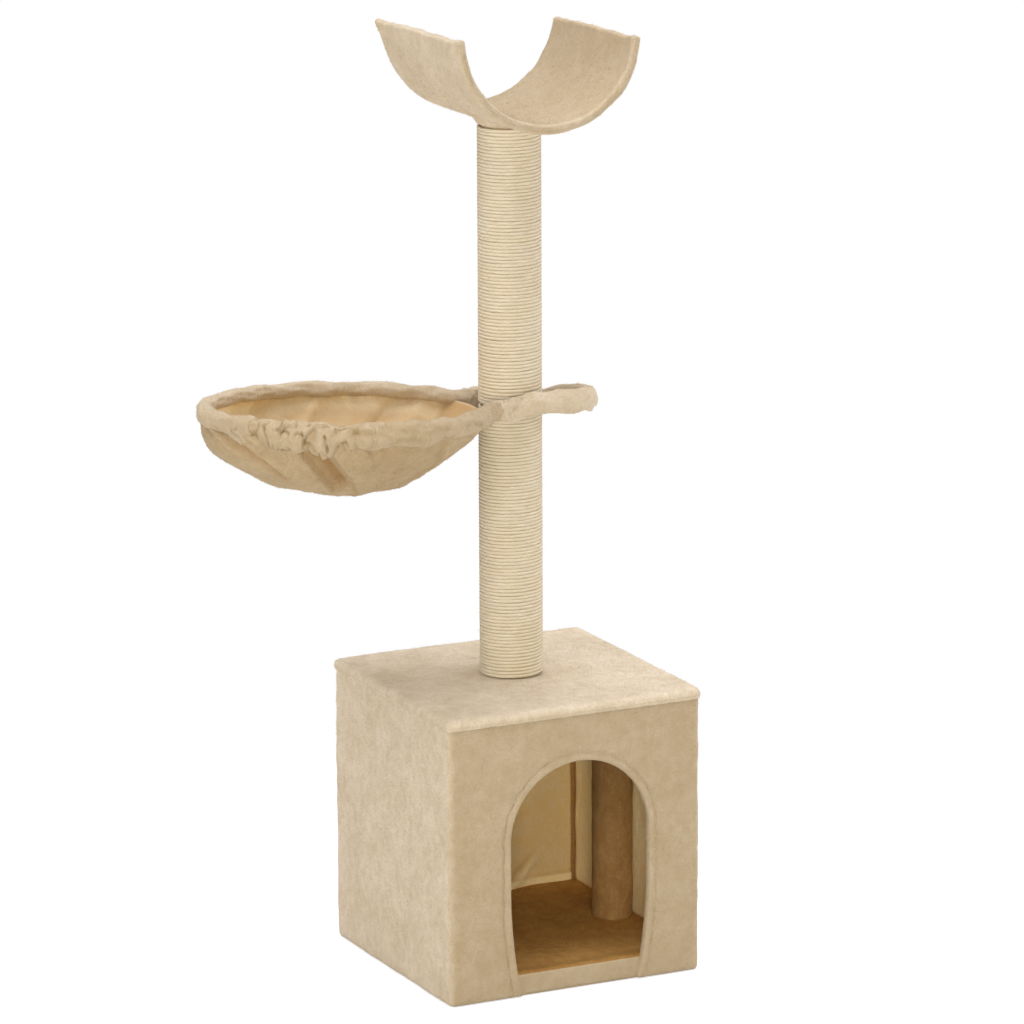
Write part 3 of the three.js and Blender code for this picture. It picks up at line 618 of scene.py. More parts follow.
def make_lining(side):
    """A plush-covered panel that stands against a wall panel, waved on its two large sides."""
    seed = {"left": 40, "right": 41, "back": 42}[side]
    low, high = box_mm("wall_lining_" + side)
    bottom_low, back_high = box_mm("wall_lining_back")
    low[2], high[2] = bottom_low[2], back_high[2]
    is_back = side == "back"
    if is_back:
        high[0] -= BACK_LINING_SHORT
    across, deep, cell = (0, 1, 2.2) if is_back else (1, 0, 5)
    lines = [
        np.linspace(low[axis], high[axis], max(3, round((high[axis] - low[axis]) / cell)))
        for axis in (across, 2)
    ]
    first, second = np.meshgrid(*lines, indexing="ij")
    wave = 0.5 * ripple(grid_points(first, second, 0), 45, seed)
    if is_back:
        wave = wave + back_creases(first, second)
    sides = []
    for level in (high[deep], low[deep]):
        x, y = (first, level + wave) if is_back else (level + wave, first)
        sides.append(grid_points(x, y, second).reshape(-1, 3))
    lining = new_mesh("lining_" + side, np.concatenate(sides), slab_faces(*first.shape))
    points = np.array([vertex.co for vertex in lining.data.vertices]) / MM
    # Painted shade on the left and back linings, none on the right.
    mark(lining, np.zeros(len(points)) if side == "right" else lining_shade(points))
    return lining


def make_front_lining():
    low, high = box_mm("wall_lining_front")
    rows, columns = 54, 58
    across = np.linspace(low[0], high[0], columns)
    heights = np.linspace(low[2], high[2], rows)
    front_side = (low[1] + high[1]) / 2 + LINING / 2
    points = grid_points(across, front_side, heights[:, None]).reshape(-1, 3)
    used, faces = cut_doorway(points, np.array(grid_faces(rows, columns)), HEM_WRAP + FIT)
    points[:, 1] += 0.15 * ripple(points, 40, 44)
    piece = new_mesh("lining_front", points[used], faces[:, ::-1].tolist(), closed=False)
    return thicken(piece, LINING)


def make_floor_cover():
    low, high = box_mm("base_cover")
    cell, top_rows = 5, 30
    plan, normals = rounded_plan(high[0], high[1], FLOOR_CORNER, cell)
    shares = np.linspace(0.02, 1, top_rows)
    rows = [at_height((plan - FLOOR_EDGE * normals) * share, high[2]) for share in shares]
    for angle in np.radians(np.linspace(15, 90, 6)):
        flat = plan - FLOOR_EDGE * (1 - math.sin(angle)) * normals
        rows.append(at_height(flat, high[2] - FLOOR_EDGE * (1 - math.cos(angle))))
    rows += [at_height(plan, height) for height in np.linspace(high[2] - 7, low[2], 6)]
    points = np.array(rows)
    points[:top_rows, :, 2] += (0.3 * ripple(points, 50, 51) - 0.1)[:top_rows]
    faces = grid_faces(len(rows), len(plan), wrap=True) + [list(range(len(plan)))[::-1]]
    piece = new_mesh("floor_plush", points, faces, closed=False)
    # Painted shade: darker along the doorway's edge, and as on the house's front below the roll.
    darkened = 0.42 * smooth_step(-points[..., 1], high[1] - 22, high[1] - 5)
    mark(piece, np.where(points[..., 2] < high[2] - FLOOR_ROLL, FRONT_PAINTED_SHADE, darkened))
    return thicken(piece, PLUSH)


def make_inner_post(side):
    low, high = box_mm("inner_post_cover_" + side)
    sides, rings = 56, 48
    angles = np.linspace(0, 2 * math.pi, sides, endpoint=False)
    heights = np.linspace(low[2], high[2], rings)
    seam = 0.9 * np.exp(-((angles - math.pi * 1.2) / 0.09) ** 2)
    points = grid_points(np.cos(angles), np.sin(angles), heights[:, None])
    reach = (high[0] - low[0]) / 2 - seam[None] + 0.3 * ripple(points * [22, 22, 1], 30, 61)
    points[..., :2] = (low[:2] + high[:2]) / 2 + reach[..., None] * points[..., :2]
    faces = grid_faces(rings, sides, wrap=True)
    piece = new_mesh("inner_post_plush_" + side, points, faces, closed=False)
    # Painted shade: darker towards the top and on the side facing -X.
    up = (heights - low[2]) / (high[2] - low[2])
    mark(piece, smooth_step(up, 0.05, 0.8)[:, None] * (0.46 - 0.14 * np.cos(angles))[None])
    return thicken(piece, PLUSH)


# ---- Post ------------------------------------------------------------

ROPE_PITCH = 3.85
ROPE_RADIUS = 1.98
STRAND_LAY = 17.0  # length of rope in which a strand goes once round
STRANDS = 3


def make_rope(name, node, seed, slack_at_bottom=0.0):
    """A real winding: one rope laid round the post in touching turns, with its three strands."""
    low, high = box_mm(node)
    centre_radius = POST_RADIUS - ROPE_RADIUS
    height = high[2] - low[2] - 2 * ROPE_RADIUS
    per_turn, sides = 84, 10
    count = int(height / ROPE_PITCH * per_turn) + 1
    turn = np.arange(count) / per_turn
    angle = 2 * math.pi * turn
    along = turn * 2 * math.pi * centre_radius
    line = grid_points(along, 0, 0)
    rise = low[2] + ROPE_RADIUS + height * np.arange(count) / (count - 1)
    rise += 0.1 * ripple(line, 90, seed) + 0.05 * ripple(line, 31, seed + 1)
    rise += slack_at_bottom * np.exp(-turn / 1.6) * np.cos(angle - math.radians(150))
    thickness = ROPE_RADIUS * (1 + 0.03 * ripple(line, 26, seed + 2))
    ends = np.minimum(np.arange(count), np.arange(count)[::-1]) / 5
    tuck = 2.2 * np.exp(-ends)
    around = np.linspace(0, 2 * math.pi, sides, endpoint=False)
    strand = STRANDS * (around[None] - 2 * math.pi * along[:, None] / STRAND_LAY)
    section = thickness[:, None] * (1 + 0.03 * np.cos(strand))
    outer = np.where(np.cos(around) > 0, 1.0, -1.5) * np.abs(np.cos(around)) ** 0.55
    reach = centre_radius - tuck[:, None] + section * outer[None]
    x, y = POST_X + reach * np.cos(angle)[:, None], POST_Y + reach * np.sin(angle)[:, None]
    points = grid_points(x, y, rise[:, None] + section * np.sin(around))
    piece = new_mesh(name, points, tube_faces(count, sides))
    # Painted shade in the grooves between strands and between turns.
    between_strands = 0.16 * smooth_step(-np.cos(strand), 0.2, 1.0)
    between_turns = 0.5 * smooth_step(np.abs(np.sin(around)), 0.8, 1.0)
    mark(piece, np.maximum(between_strands, between_turns[None]), "groove")
    mesh = piece.data
    uv = mesh.uv_layers.new(name="rope")
    vertex = np.zeros(len(mesh.loops), int)
    mesh.loops.foreach_get("vertex_index", vertex)
    twist = np.tile(around / (2 * math.pi), count)[vertex]
    places = np.stack([np.repeat(along * MM, sides)[vertex], twist], axis=1)
    uv.data.foreach_set("uv", places.astype(np.float32).ravel())
    return piece


# ---- Hammock ---------------------------------------------------------

# The wire's centre line runs round the loop's end, along a straight side, through the neck's bend and
# round the ring. Places are in the wire's plane, and each "end" is a distance along the wire.
LOOP_X = LOOP_HALF_WIDTH - LOOP_REACH
BEND_Y = LOOP_HALF_WIDTH + NECK_BEND_RADIUS
BEND_X = RING_REACH - math.sqrt((RING_RADIUS + NECK_BEND_RADIUS) ** 2 - BEND_Y ** 2)
RING_START = math.atan2(BEND_Y, RING_REACH - BEND_X)  # angle from the neck at which the ring starts
LOOP_END = LOOP_HALF_WIDTH * math.pi / 2
STRAIGHT_END = LOOP_END + BEND_X - LOOP_X
BEND_END = STRAIGHT_END + NECK_BEND_RADIUS * (math.pi / 2 - RING_START)


def hammock_turn():
    x, y, z = (math.radians(angle) for angle in HAMMOCK_TURN)
    turn = Matrix.Rotation(z, 3, "Z") @ Matrix.Rotation(y, 3, "Y") @ Matrix.Rotation(x, 3, "X")
    return np.array(turn)


def on_hammock(points):
    return points @ hammock_turn().T + HAMMOCK_CENTRE


def keyhole(distances):
    """Points of the wire's centre line at distances from the middle of the loop's end, and the way
    sideways from it there. Negative distances run along the other side."""
    rest = np.abs(distances)
    loop_angle = math.pi - rest / LOOP_HALF_WIDTH
    bend_angle = (rest - STRAIGHT_END) / NECK_BEND_RADIUS
    ring_angle = math.pi - RING_START - (rest - BEND_END) / RING_RADIUS
    stretches = [rest <= LOOP_END, rest <= STRAIGHT_END, rest <= BEND_END]
    x = np.select(stretches, [
        LOOP_X + LOOP_HALF_WIDTH * np.cos(loop_angle),
        LOOP_X + rest - LOOP_END,
        BEND_X + NECK_BEND_RADIUS * np.sin(bend_angle),
    ], RING_REACH + RING_RADIUS * np.cos(ring_angle))
    y = np.select(stretches, [
        LOOP_HALF_WIDTH * np.sin(loop_angle),
        np.full_like(rest, LOOP_HALF_WIDTH),
        BEND_Y - NECK_BEND_RADIUS * np.cos(bend_angle),
    ], RING_RADIUS * np.sin(ring_angle))
    z = np.where(x < 0, LOOP_RISE * (x / LOOP_REACH) ** 2, 0)
    spine = grid_points(x, np.where(distances < 0, -y, y), z)
    tangent = unit(np.gradient(spine, axis=0))
    return spine, unit(np.cross(tangent, [0.0, 0.0, 1.0]))


def ring_distance(angle):
    """Distance along the wire from the loop's end to an angle round the ring from the neck."""
    return BEND_END + RING_RADIUS * (angle - RING_START)


SLEEVE_JOINT = ring_distance(math.radians(SLEEVE_JOINT_ANGLE))


def gathering(angle):
    """How tightly the rim's sleeve is bunched up at an angle round the ring, in degrees from the far
    point: most on the near side, a third of the way back to the post."""
    away = from_angle(angle, 47)
    strong = np.exp(-np.abs(away / 23) ** 4)
    wide = np.exp(-((away - 18) / 45) ** 2)
    return 0.06 + 0.62 * strong + 0.32 * wide


def on_sleeve(along, around):
    """Places on a sleeve about a straight wire, for ripples that run over its surface."""
    radius = 9
    return grid_points(along, radius * np.cos(around), radius * np.sin(around))


def bunched(along, around, pitch, seed):
    """Bunched folds across a sleeve: round crests with sharp valleys between them, uneven in width and
    height, slanted round the sleeve, and each fading out somewhere on its way round. From 0 in a valley
    to 1 on a crest."""
    slant = on_sleeve(along, around)
    count = along / pitch + 0.9 * ripple(grid_points(along, 0, 0), 40, seed)
    count = count + 0.75 * ripple(slant, 20, seed + 1)
    crest = np.abs(np.sin(math.pi * count)) ** 0.66
    held = np.clip(0.62 + 0.75 * ripple(slant * [0.8, 1, 1], 13, seed + 3), 0, 1)
    height = 0.62 + 0.45 * ripple(grid_points(count, 0, 0), 3.1, seed + 2)
    return 1 - held * (1 - crest * np.clip(height, 0.05, 1.35))


def sleeve_section(along, around, tightness, seed):
    """How far a sleeve's surface stands from its wire, and how much painted shade it gets there."""
    coarse = bunched(along, around, 14, seed)
    fine = bunched(along, around, 7.5, seed + 5)
    place = on_sleeve(along, around)
    # Long soft wrinkles along the wire where the sleeve isn't bunched.
    soft = ripple(place * [0.3, 1, 1], 9, seed + 9) + 0.7 * ripple(place * [0.5, 1, 1], 20, seed + 10)
    below = np.clip(-np.sin(around), 0, 1)
    lift = tightness * (5.0 * coarse + 1.5 * fine - 4.3) + 0.8 * soft
    lift += below * tightness * 2.8 * coarse
    painted_shade = smooth_step(1 - coarse, 0.35, 0.95) * np.clip(tightness * 1.2, 0, 1) * 0.85
    return SLEEVE_RADIUS - 0.2 + lift, painted_shade


def sleeve_mesh(name, spine, outward, radius, tall, lift, around, painted_shade, base_shade):
    """A tube about a spine; its section is measured along "outward" and straight up, where it is
    "tall" times its radius."""
    reach = radius * np.cos(around)[None] * 0.92
    rise = radius * np.sin(around)[None] * tall + lift
    points = spine[:, None] + reach[..., None] * outward[:, None]
    points[..., 2] += rise
    faces = tube_faces(len(spine), len(around))
    piece = new_mesh(name, on_hammock(points.reshape(-1, 3)), faces)
    # Painted shade: a base share all over, and more in the valleys of the bunched folds.
    mark(piece, base_shade + (1 - base_shade) * painted_shade)
    return piece


def make_loop_sleeve():
    """The sleeve on the wire's loop. The post pushes its two strands together, so the near one rides
    up and the far one down, each still round its wire."""
    rings, sides = 300, 32
    distances = np.linspace(-SLEEVE_JOINT, SLEEVE_JOINT, rings)
    spine, outward = keyhole(distances)
    around = np.linspace(0, 2 * math.pi, sides, endpoint=False)
    along, turn = np.meshgrid(distances, around, indexing="ij")
    before_joint = SLEEVE_JOINT - np.abs(along)
    tightness = 0.06 + 0.25 * smooth_step(np.abs(along), SLEEVE_JOINT - 60, SLEEVE_JOINT - 20)
    radius, painted_shade = sleeve_section(along, turn, tightness, 101)
    radius -= 1.3 + 1.6 * np.exp(-(before_joint / 12) ** 2)
    side = np.sign(distances) * smooth_step(np.abs(distances), 8, 70)
    side *= 1 - smooth_step(np.abs(distances), SLEEVE_JOINT - 55, SLEEVE_JOINT - 10)
    near = smooth_step(side, -0.5, 0.5)[:, None]
    lift = side[:, None] * (7.2 - 1.4 * near)
    tall = 1.38 + 0.1 * near
    return sleeve_mesh("loop_plush", spine, outward, radius, tall, lift, around, painted_shade, 0.1)


# Where the bunched rim sleeve hangs or stands out most: the angle round the ring, how far this reaches
# before and after it, the turn round the sleeve (0 is outwards, -90 straight down), its spread, its size.
RIM_BULGES = (
    (49, 9, 4, -52, 60, 5.5), (63.5, 7.5, 3.2, -58, 56, 8.0), (39.5, 2.6, 3.5, 35, 60, 3.0),
    (56.5, 1.6, 1.6, 40, 70, 2.6), (28, 9, 6, -70, 60, 3.4), (72, 3, 2.5, -50, 50, 2.4),
    (-3, 10, 9, -60, 70, 4.0), (80, 4, 6, -70, 50, 3.5), (96, 7, 9, -75, 50, 3.0),
)
# Short creases in it: the angle round the ring where each starts and ends, the turns there, its depth
# and half its width.
RIM_CREASES = (
    (37.5, 41, 30, -62, 5.5, 1.6), (41, 50, -58, -84, 5.0, 1.8), (53.5, 54.5, 8, -42, 5.0, 1.3),
    (54.5, 59.5, -42, -52, 4.0, 1.4), (62.5, 63.5, -2, -48, 5.0, 1.3), (69, 71, -34, -44, 4.0, 1.5),
    (44, 48.5, 22, 2, 3.6, 1.4), (10, 13, -30, -62, 3.6, 1.5), (3, 5, -40, -66, 3.2, 1.5),
    (33, 35, -10, -52, 2.8, 1.3), (77, 88, 6, -14, 1.5, 2.2), (100, 113, -20, -2, 1.6, 2.4),
    (124, 136, 4, -16, 1.4, 2.4), (88, 100, -52, -40, 1.5, 2.2),
)
# Where a stitch pulls the rim's sleeve in, on the near side and inside at the far left: the angle round
# the ring, the turn, the depth.
RIM_STITCHES = ((74.5, 22, 4.5), (4, 150, 5))


def rim_tucks(angle, turn):
    """How far the rim's sleeve stands out at its bulges and in at its creases, and the painted shade in
    its creases.
    """
    out = np.zeros(np.broadcast(angle, turn).shape)
    painted_shade = out.copy()
    for middle, before, after, bulge_turn, spread, size in RIM_BULGES:
        away = from_angle(angle, middle)
        away = away / np.where(away < 0, before, after)
        above = from_angle(turn, bulge_turn)
        out = out + size * np.exp(-np.abs(away) ** 2.4 - (above / spread) ** 2)
    for start, end, start_turn, end_turn, depth, half_width in RIM_CREASES:
        wire = math.radians(end - start) * RING_RADIUS
        rise = math.radians(end_turn - start_turn) * SLEEVE_RADIUS
        length = math.hypot(wire, rise)
        across = np.radians(from_angle(angle, start)) * RING_RADIUS
        upwards = np.radians(from_angle(turn, start_turn)) * SLEEVE_RADIUS
        share = np.clip((across * wire + upwards * rise) / length ** 2, 0, 1)
        bend = half_width * np.sin(share * math.pi)
        away = np.hypot(across - share * wire, upwards - share * rise - bend)
        crease = np.exp(-(away / half_width) ** 2)
        out = out - depth * crease
        painted_shade = np.maximum(painted_shade, 0.17 * depth * crease)
    return out, painted_shade


def make_rim_sleeve():
    """The sleeve on the ring, bunched where the basket's cloth is longer than the wire. It starts and
    ends at the neck, over the loop's sleeve."""
    rings, sides = 1500, 56
    full = ring_distance(math.pi)
    reach = full - SLEEVE_JOINT + SLEEVE_OVERLAP
    past = np.linspace(-reach, reach, rings)
    spine, inward = keyhole(np.where(past <= 0, full + past, past - full))
    angle = np.degrees(np.arctan2(spine[:, 1], spine[:, 0] - RING_REACH))
    around = np.linspace(0, 2 * math.pi, sides, endpoint=False)
    along, turn = np.meshgrid(past, around, indexing="ij")
    tight = gathering(angle)[:, None]
    radius, painted_shade = sleeve_section(along, turn, tight, 111)
    tucked, in_creases = rim_tucks(angle[:, None], np.degrees(turn))
    radius += tucked
    painted_shade = np.maximum(painted_shade, in_creases)
    for stitch_angle, stitch_turn, depth in RIM_STITCHES:
        beside = np.radians(angle - stitch_angle)[:, None] * RING_RADIUS / 4.5
        above = from_angle(np.degrees(turn), stitch_turn)
        dimple = np.exp(-beside ** 2 - (above / 26) ** 2)
        radius -= depth * dimple
        painted_shade = np.maximum(painted_shade, dimple)
    ends = (reach - np.abs(past))[:, None]
    radius += 0.5 * np.exp(-((ends - 4) / 5) ** 2) - 2.6 * np.exp(-(ends / 1.5) ** 2)
    radius = np.maximum(radius, 4.5)
    sag = -(0.4 + 1.6 * tight[:, 0]) * (1 + 0.6 * ripple(grid_points(past, 0, 0), 36, 113))
    # On the near side the sleeve hangs slack; on the far side the bowl pulls it flat on the wire.
    near = smooth_step(np.sin(np.radians(angle)), -0.6, 0.5)[:, None]
    tall = 0.8 + 0.38 * near
    lift = sag[:, None] + 2.0 * (1 - near)
    # Painted shade: more on the near side than on the far side.
    base_shade = 0.3 + 0.3 * near
    return sleeve_mesh("rim_plush", spine, -inward, radius, tall, lift, around, painted_shade, base_shade)


# The bowl's form by angle round the ring, in degrees from the far point: how full its wall is, the
# radius at which the wall meets the floor, and the radius and height at which the wall starts, inside
# the sleeve. In the neck its edge crosses freely in front of the post.
BOWL_FORM = (
    (-180, 1.31, 80, 149.5, -2), (-162, 1.35, 76, 151, -2), (-150, 1.4, 70, 154, -3),
    (-90, 1.6, 52, 155, -3), (-30, 2.49, 58, 155, -4), (30, 1.9, 40, 155, -6),
    (75, 2.0, 60, 155, -6), (120, 1.6, 54, 155, -6), (150, 1.4, 66, 154, -6),
    (162, 1.35, 74, 151, -6),
)
BOWL_SWAY = (11.4, -6.7)  # how far the floor hangs away from under the ring's centre

# Folds in the bowl's wall. Each runs through places given as an angle round the ring and a share of
# the depth; then come its height (negative for a valley) and its width to either side, in millimetres.
FOLD_RADIUS = 110  # where a fold's width is measured
BOWL_SEAM = ((112, 0.0), (116, 0.11), (119, 0.28), (129, 0.5), (136, 0.8))
BOWL_FOLDS = (
    # The deep valley on the near side, the layer that overlaps it on the left, and its right ridge.
    (((52, 0.0), (57, 0.1), (62, 0.33), (68, 0.55), (75, 0.8)), -8.5, 6.5, 6.5),
    (((45, 0.0), (50, 0.1), (55, 0.33), (60.5, 0.55), (68, 0.85)), 5.0, 17.0, 2.2),
    (((61, 0.05), (66, 0.16), (73, 0.45), (82, 0.72), (90, 0.92)), 4.6, 2.2, 20.0),
    # The long slanted fold on the far left, with the hollow below it.
    (((21, 0.0), (27, 0.07), (35, 0.23), (42, 0.39), (46, 0.55), (49, 0.85)), 7.6, 2.0, 14.0),
    (((13, 0.0), (19, 0.1), (28, 0.3), (36, 0.52), (41, 0.8)), -6.2, 9.0, 4.5),
    (((4, 0.0), (10, 0.1), (17, 0.24), (22, 0.42)), 5.6, 2.0, 5.0),
    (((-8, 0.0), (-3, 0.09), (4, 0.2), (12, 0.4)), 4.0, 2.4, 6.0),
    (((28, 0.0), (31, 0.05), (36, 0.12)), 3.5, 2.0, 6.0),
    (((36, 0.0), (42, 0.08), (47, 0.13), (53, 0.15)), -4.5, 2.2, 3.0),
    (((76, 0.0), (79, 0.1), (82, 0.22)), -2.5, 2.0, 3.5),
    # The seam on the right, where two pieces of the bowl meet, and soft folds all round.
    (BOWL_SEAM, 3.4, 1.8, 9.0),
    (((85, 0.1), (95, 0.4), (109, 0.8)), -1.6, 14.0, 14.0),
    (((-40, 0.0), (-34, 0.3), (-20, 0.8)), -5.6, 9.0, 5.0),
    (((-100, 0.05), (-92, 0.4), (-70, 0.9)), -6.0, 9.0, 6.0),
    (((-130, 0.0), (-125, 0.4), (-120, 0.8)), 6.0, 14.0, 4.0),
    (((-72, 0.0), (-64, 0.4), (-50, 0.9)), 6.0, 14.0, 5.0),
    (((-146, 0.0), (-143, 0.4), (-138, 0.8)), -3.0, 6.0, 7.0),
    (((-158, 0.0), (-154, 0.4), (-150, 0.8)), 2.0, 10.0, 8.0),
    (((150, 0.0), (158, 0.4), (170, 0.9)), -1.6, 9.0, 9.0),
)


def bowl_wall(angle, depth):
    """Points of the bowl's wall before it is folded, for angles in degrees and shares of the depth."""
    turns = np.arange(-180, 180, 3.0)
    window = np.array([1.0, 2, 3, 2, 1]) / 9
    form = []
    for column in range(1, 5):
        values = np.interp(turns, *zip(*((row[0], row[column]) for row in BOWL_FORM)), period=360)
        values = np.convolve(np.r_[values[-2:], values, values[:2]], window, "valid")
        form.append(np.interp(angle, turns, values, period=360))
    fullness, floor_radius, top_radius, top = form
    radius = floor_radius + (top_radius - floor_radius) * (1 - depth ** fullness)
    turn = np.radians(angle)
    return grid_points(
        RING_REACH + radius * np.cos(turn) + BOWL_SWAY[0] * depth,
        radius * np.sin(turn) + BOWL_SWAY[1] * depth,
        top - (BOWL_DEPTH + top) * depth,
    )


def bowl_folds(angle, depth, points):
    """The folds' height at places on the wall, outwards, and the painted shade in their valleys and
    beside sharp folds.
    """
    height = np.zeros(angle.shape)
    painted_shade = np.zeros(angle.shape)
    for path, rise, width_before, width_after in BOWL_FOLDS:
        angles, depths = np.array(path, float).T
        aside = np.radians(from_angle(angle, np.interp(depth, depths, angles))) * FOLD_RADIUS
        aside = aside * (1 - 0.35 * depth)
        width = np.where(aside < 0, width_before, width_after)
        ends = smooth_step(depth, depths[0] - 0.12, depths[0] + 0.06)
        ends = ends * (1 - smooth_step(depth, depths[-1] - 0.1, depths[-1] + 0.12))
        shape = np.exp(-np.abs(aside / width) ** 1.7) * ends
        height += rise * shape
        sharpest = min(width_before, width_after)
        if rise < 0:
            painted_shade = np.maximum(painted_shade, 0.8 * shape * min(1, -rise / 7))
        elif sharpest < 3:  # a line of painted shade beside a sharp fold
            sharp_side = -1.6 if width_before < width_after else 1.6
            line = np.exp(-((aside / sharpest - sharp_side) / 1.1) ** 2)
            painted_shade = np.maximum(painted_shade, 0.62 * min(1, (rise / 6) ** 2) * ends * line)
    near_top = np.exp(-depth / 0.16)
    ring = np.radians(angle) * RING_RADIUS
    pleats = ripple(grid_points(ring + 55 * depth, 0, 26 * depth), 13, 73)
    height += 1.9 * (0.3 + 0.9 * gathering(angle)) * pleats * near_top
    height += 0.8 * ripple(points, 60, 71) + 0.35 * ripple(points, 22, 72)
    in_neck = smooth_step(np.abs(angle), 150, 164) * (1 - smooth_step(depth, 0.1, 0.5))
    return height * (1 - 0.85 * in_neck), painted_shade


def outer_painted_shade(turn):
    """Painted shade outside the bowl, by turn from the far point (0 to 360): some on the far wall, and
    most beside the post."""
    past_neck = smooth_step(turn, 168, 178)
    far = 0.2 * past_neck * (1 - smooth_step(turn, 265, 320))
    beside_post = 0.75 * (past_neck * (1 - smooth_step(turn, 192, 250)))
    return np.maximum(far, beside_post)


def inner_painted_shade(turn, depth):
    """Painted shade inside the bowl, by turn from the far point (0 to 360) and depth: most towards the
    floor and on the far wall beside the post."""
    past_neck = smooth_step(turn, 168, 178)
    far = past_neck * (1 - smooth_step(turn, 262, 300))
    by_post = past_neck * (1 - smooth_step(turn, 200, 248))
    in_neck = past_neck * (1 - smooth_step(turn, 200, 214))
    floor = (0.5 + 0.14 * far) * smooth_step(depth, 0.2 - 0.1 * far, 0.5 - 0.18 * far)
    flat = np.maximum(floor, 0.52 * by_post * smooth_step(depth, 0.02, 0.12))
    return np.maximum(flat, 0.85 * in_neck * smooth_step(depth, -0.06, 0.05))


def bowl_grid(rows, columns):
    """Depths and angles of a grid on the bowl's wall, closer together where the folds are."""
    fine = np.linspace(-180, 180, 721)
    crowd = np.cumsum(1 + 1.3 * ((fine > -15) & (fine < 110)))
    angles = np.interp(np.linspace(crowd[0], crowd[-1], columns, endpoint=False), crowd, fine)
    return np.meshgrid(np.linspace(0, 1, rows), angles, indexing="ij")


def make_bowl():
    """The bowl of the hammock: a round piece of plush that hangs in folds from the rim's sleeve."""
    wall_rows, floor_rows, columns = 70, 14, 520
    depth, angle = bowl_grid(wall_rows, columns)
    wall = bowl_wall(angle, depth)
    height, painted_shade = bowl_folds(angle, depth, wall)
    floor_centre = np.array([RING_REACH + BOWL_SWAY[0], BOWL_SWAY[1], -BOWL_DEPTH])
    share = np.linspace(0, 1, floor_rows + 1)[1:-1, None, None]
    floor = wall[-1][None] + (floor_centre - wall[-1][None]) * share
    fade = (1 - share[..., 0]) ** 2
    points = np.concatenate([wall, floor])
    for _ in range(6):  # rounds the turn from wall to floor
        points[1:-1] = (points[:-2] + 2 * points[1:-1] + points[2:]) / 4
    height = np.concatenate([height, height[-1][None] * fade])
    painted_shade = np.concatenate([painted_shade, painted_shade[-1][None] * fade])
    along = np.roll(points, -1, axis=1) - np.roll(points, 1, axis=1)
    normal = unit(np.cross(along, np.gradient(points, axis=0)))
    inside = floor_centre + [0, 0, 60]
    normal *= np.sign((normal * (points - inside)).sum(axis=-1))[..., None]
    points += height[..., None] * normal
    count = len(points)
    faces = grid_faces(count, columns, wrap=True)
    faces.append(list(range((count - 1) * columns, count * columns)))
    piece = new_mesh("hammock_bowl_plush", on_hammock(points.reshape(-1, 3)), faces, closed=False)
    turn_outwards(piece.data, hanging=True)
    turn = angle[0] % 360
    depth = np.concatenate([depth, np.ones((floor_rows - 1, columns))])
    # Painted shade: outside on the folds' valleys, the far wall and beside the post; inside towards the
    # floor and beside the post.
    mark(piece, 0.1 + 0.9 * np.maximum(painted_shade, outer_painted_shade(turn)))
    mark(piece, np.maximum(0.5 * painted_shade, inner_painted_shade(turn, depth)), "shade_inside")
    thicken(piece, PLUSH).modifiers["thickness"].material_offset = 1
    return piece


# ---- Perch -----------------------------------------------------------

def on_perch(points):
    """Places points given round the trough's own centre line, as the CAD perch is placed."""
    roll = np.array(Matrix.Rotation(math.radians(PERCH_ROLL), 3, "Y"))
    pitch = np.array(Matrix.Rotation(-math.radians(PERCH_PITCH), 3, "X"))
    yaw = np.array(Matrix.Rotation(math.radians(PERCH_YAW), 3, "Z"))
    placed = points @ roll.T + [PERCH_SHIFT, 0, PERCH_OUTER]
    return placed @ (yaw @ pitch).T + [POST_X, POST_Y, PERCH_SEAT]


# How far each corner of the perch's cover is pulled out into a point: which end (-1 is the near one),
# which tip of the arc (-1 is the left one), the pull along the length, outwards and up, and how far
# from the corner it reaches along the length (in millimetres) and round the arc (in degrees).
PERCH_CORNERS = (
    (1, -1, 4.0, 7.5, 2.0, 16, 12), (1, 1, 1.5, 1.0, -0.5, 24, 18),
    (-1, -1, 1.0, 1.0, 2.2, 20, 14), (-1, 1, 2.0, -4.5, 2.6, 34, 26),
)
PERCH_MIDDLE = (PERCH_OUTER + PERCH_INNER) / 2
PERCH_HALF_THICK = (PERCH_OUTER - PERCH_INNER) / 2
PERCH_ARC = np.linspace(-1, 1, 140)
PERCH_TIP_TURN = np.linspace(0, math.pi, 11)[1:-1]


def perch_section(inset, y):
    """The cover's outline across the trough, drawn in by an inset: the outer arc, the right edge, the
    inner arc and the left edge."""
    half = PERCH_HALF_THICK - inset
    reach = math.radians(PERCH_HALF_ANGLE) - (inset + PERCH_TIP) / PERCH_MIDDLE
    edge = PERCH_TIP / PERCH_MIDDLE * np.sin(PERCH_TIP_TURN)
    arc, across = np.ones(len(PERCH_ARC)), np.cos(PERCH_TIP_TURN)
    angles = np.concatenate([reach * PERCH_ARC, reach + edge, reach * PERCH_ARC[::-1], -reach - edge])
    radii = PERCH_MIDDLE + half * np.concatenate([arc, across, -arc, -across])
    return grid_points(radii * np.sin(angles), y, -radii * np.cos(angles))


def perch_end_faces(ring):
    """Faces that close one end of the cover, between its outer and its inner arc."""
    arc, tip = len(PERCH_ARC), len(PERCH_TIP_TURN)
    outer, right = ring[:arc], ring[arc:arc + tip]
    inner, left = ring[arc + tip:2 * arc + tip][::-1], ring[2 * arc + tip:]
    faces = [[outer[k], outer[k + 1], inner[k + 1], inner[k]] for k in range(arc - 1)]
    return faces + [[outer[-1]] + right + [inner[-1]], [inner[0]] + left + [outer[0]]]


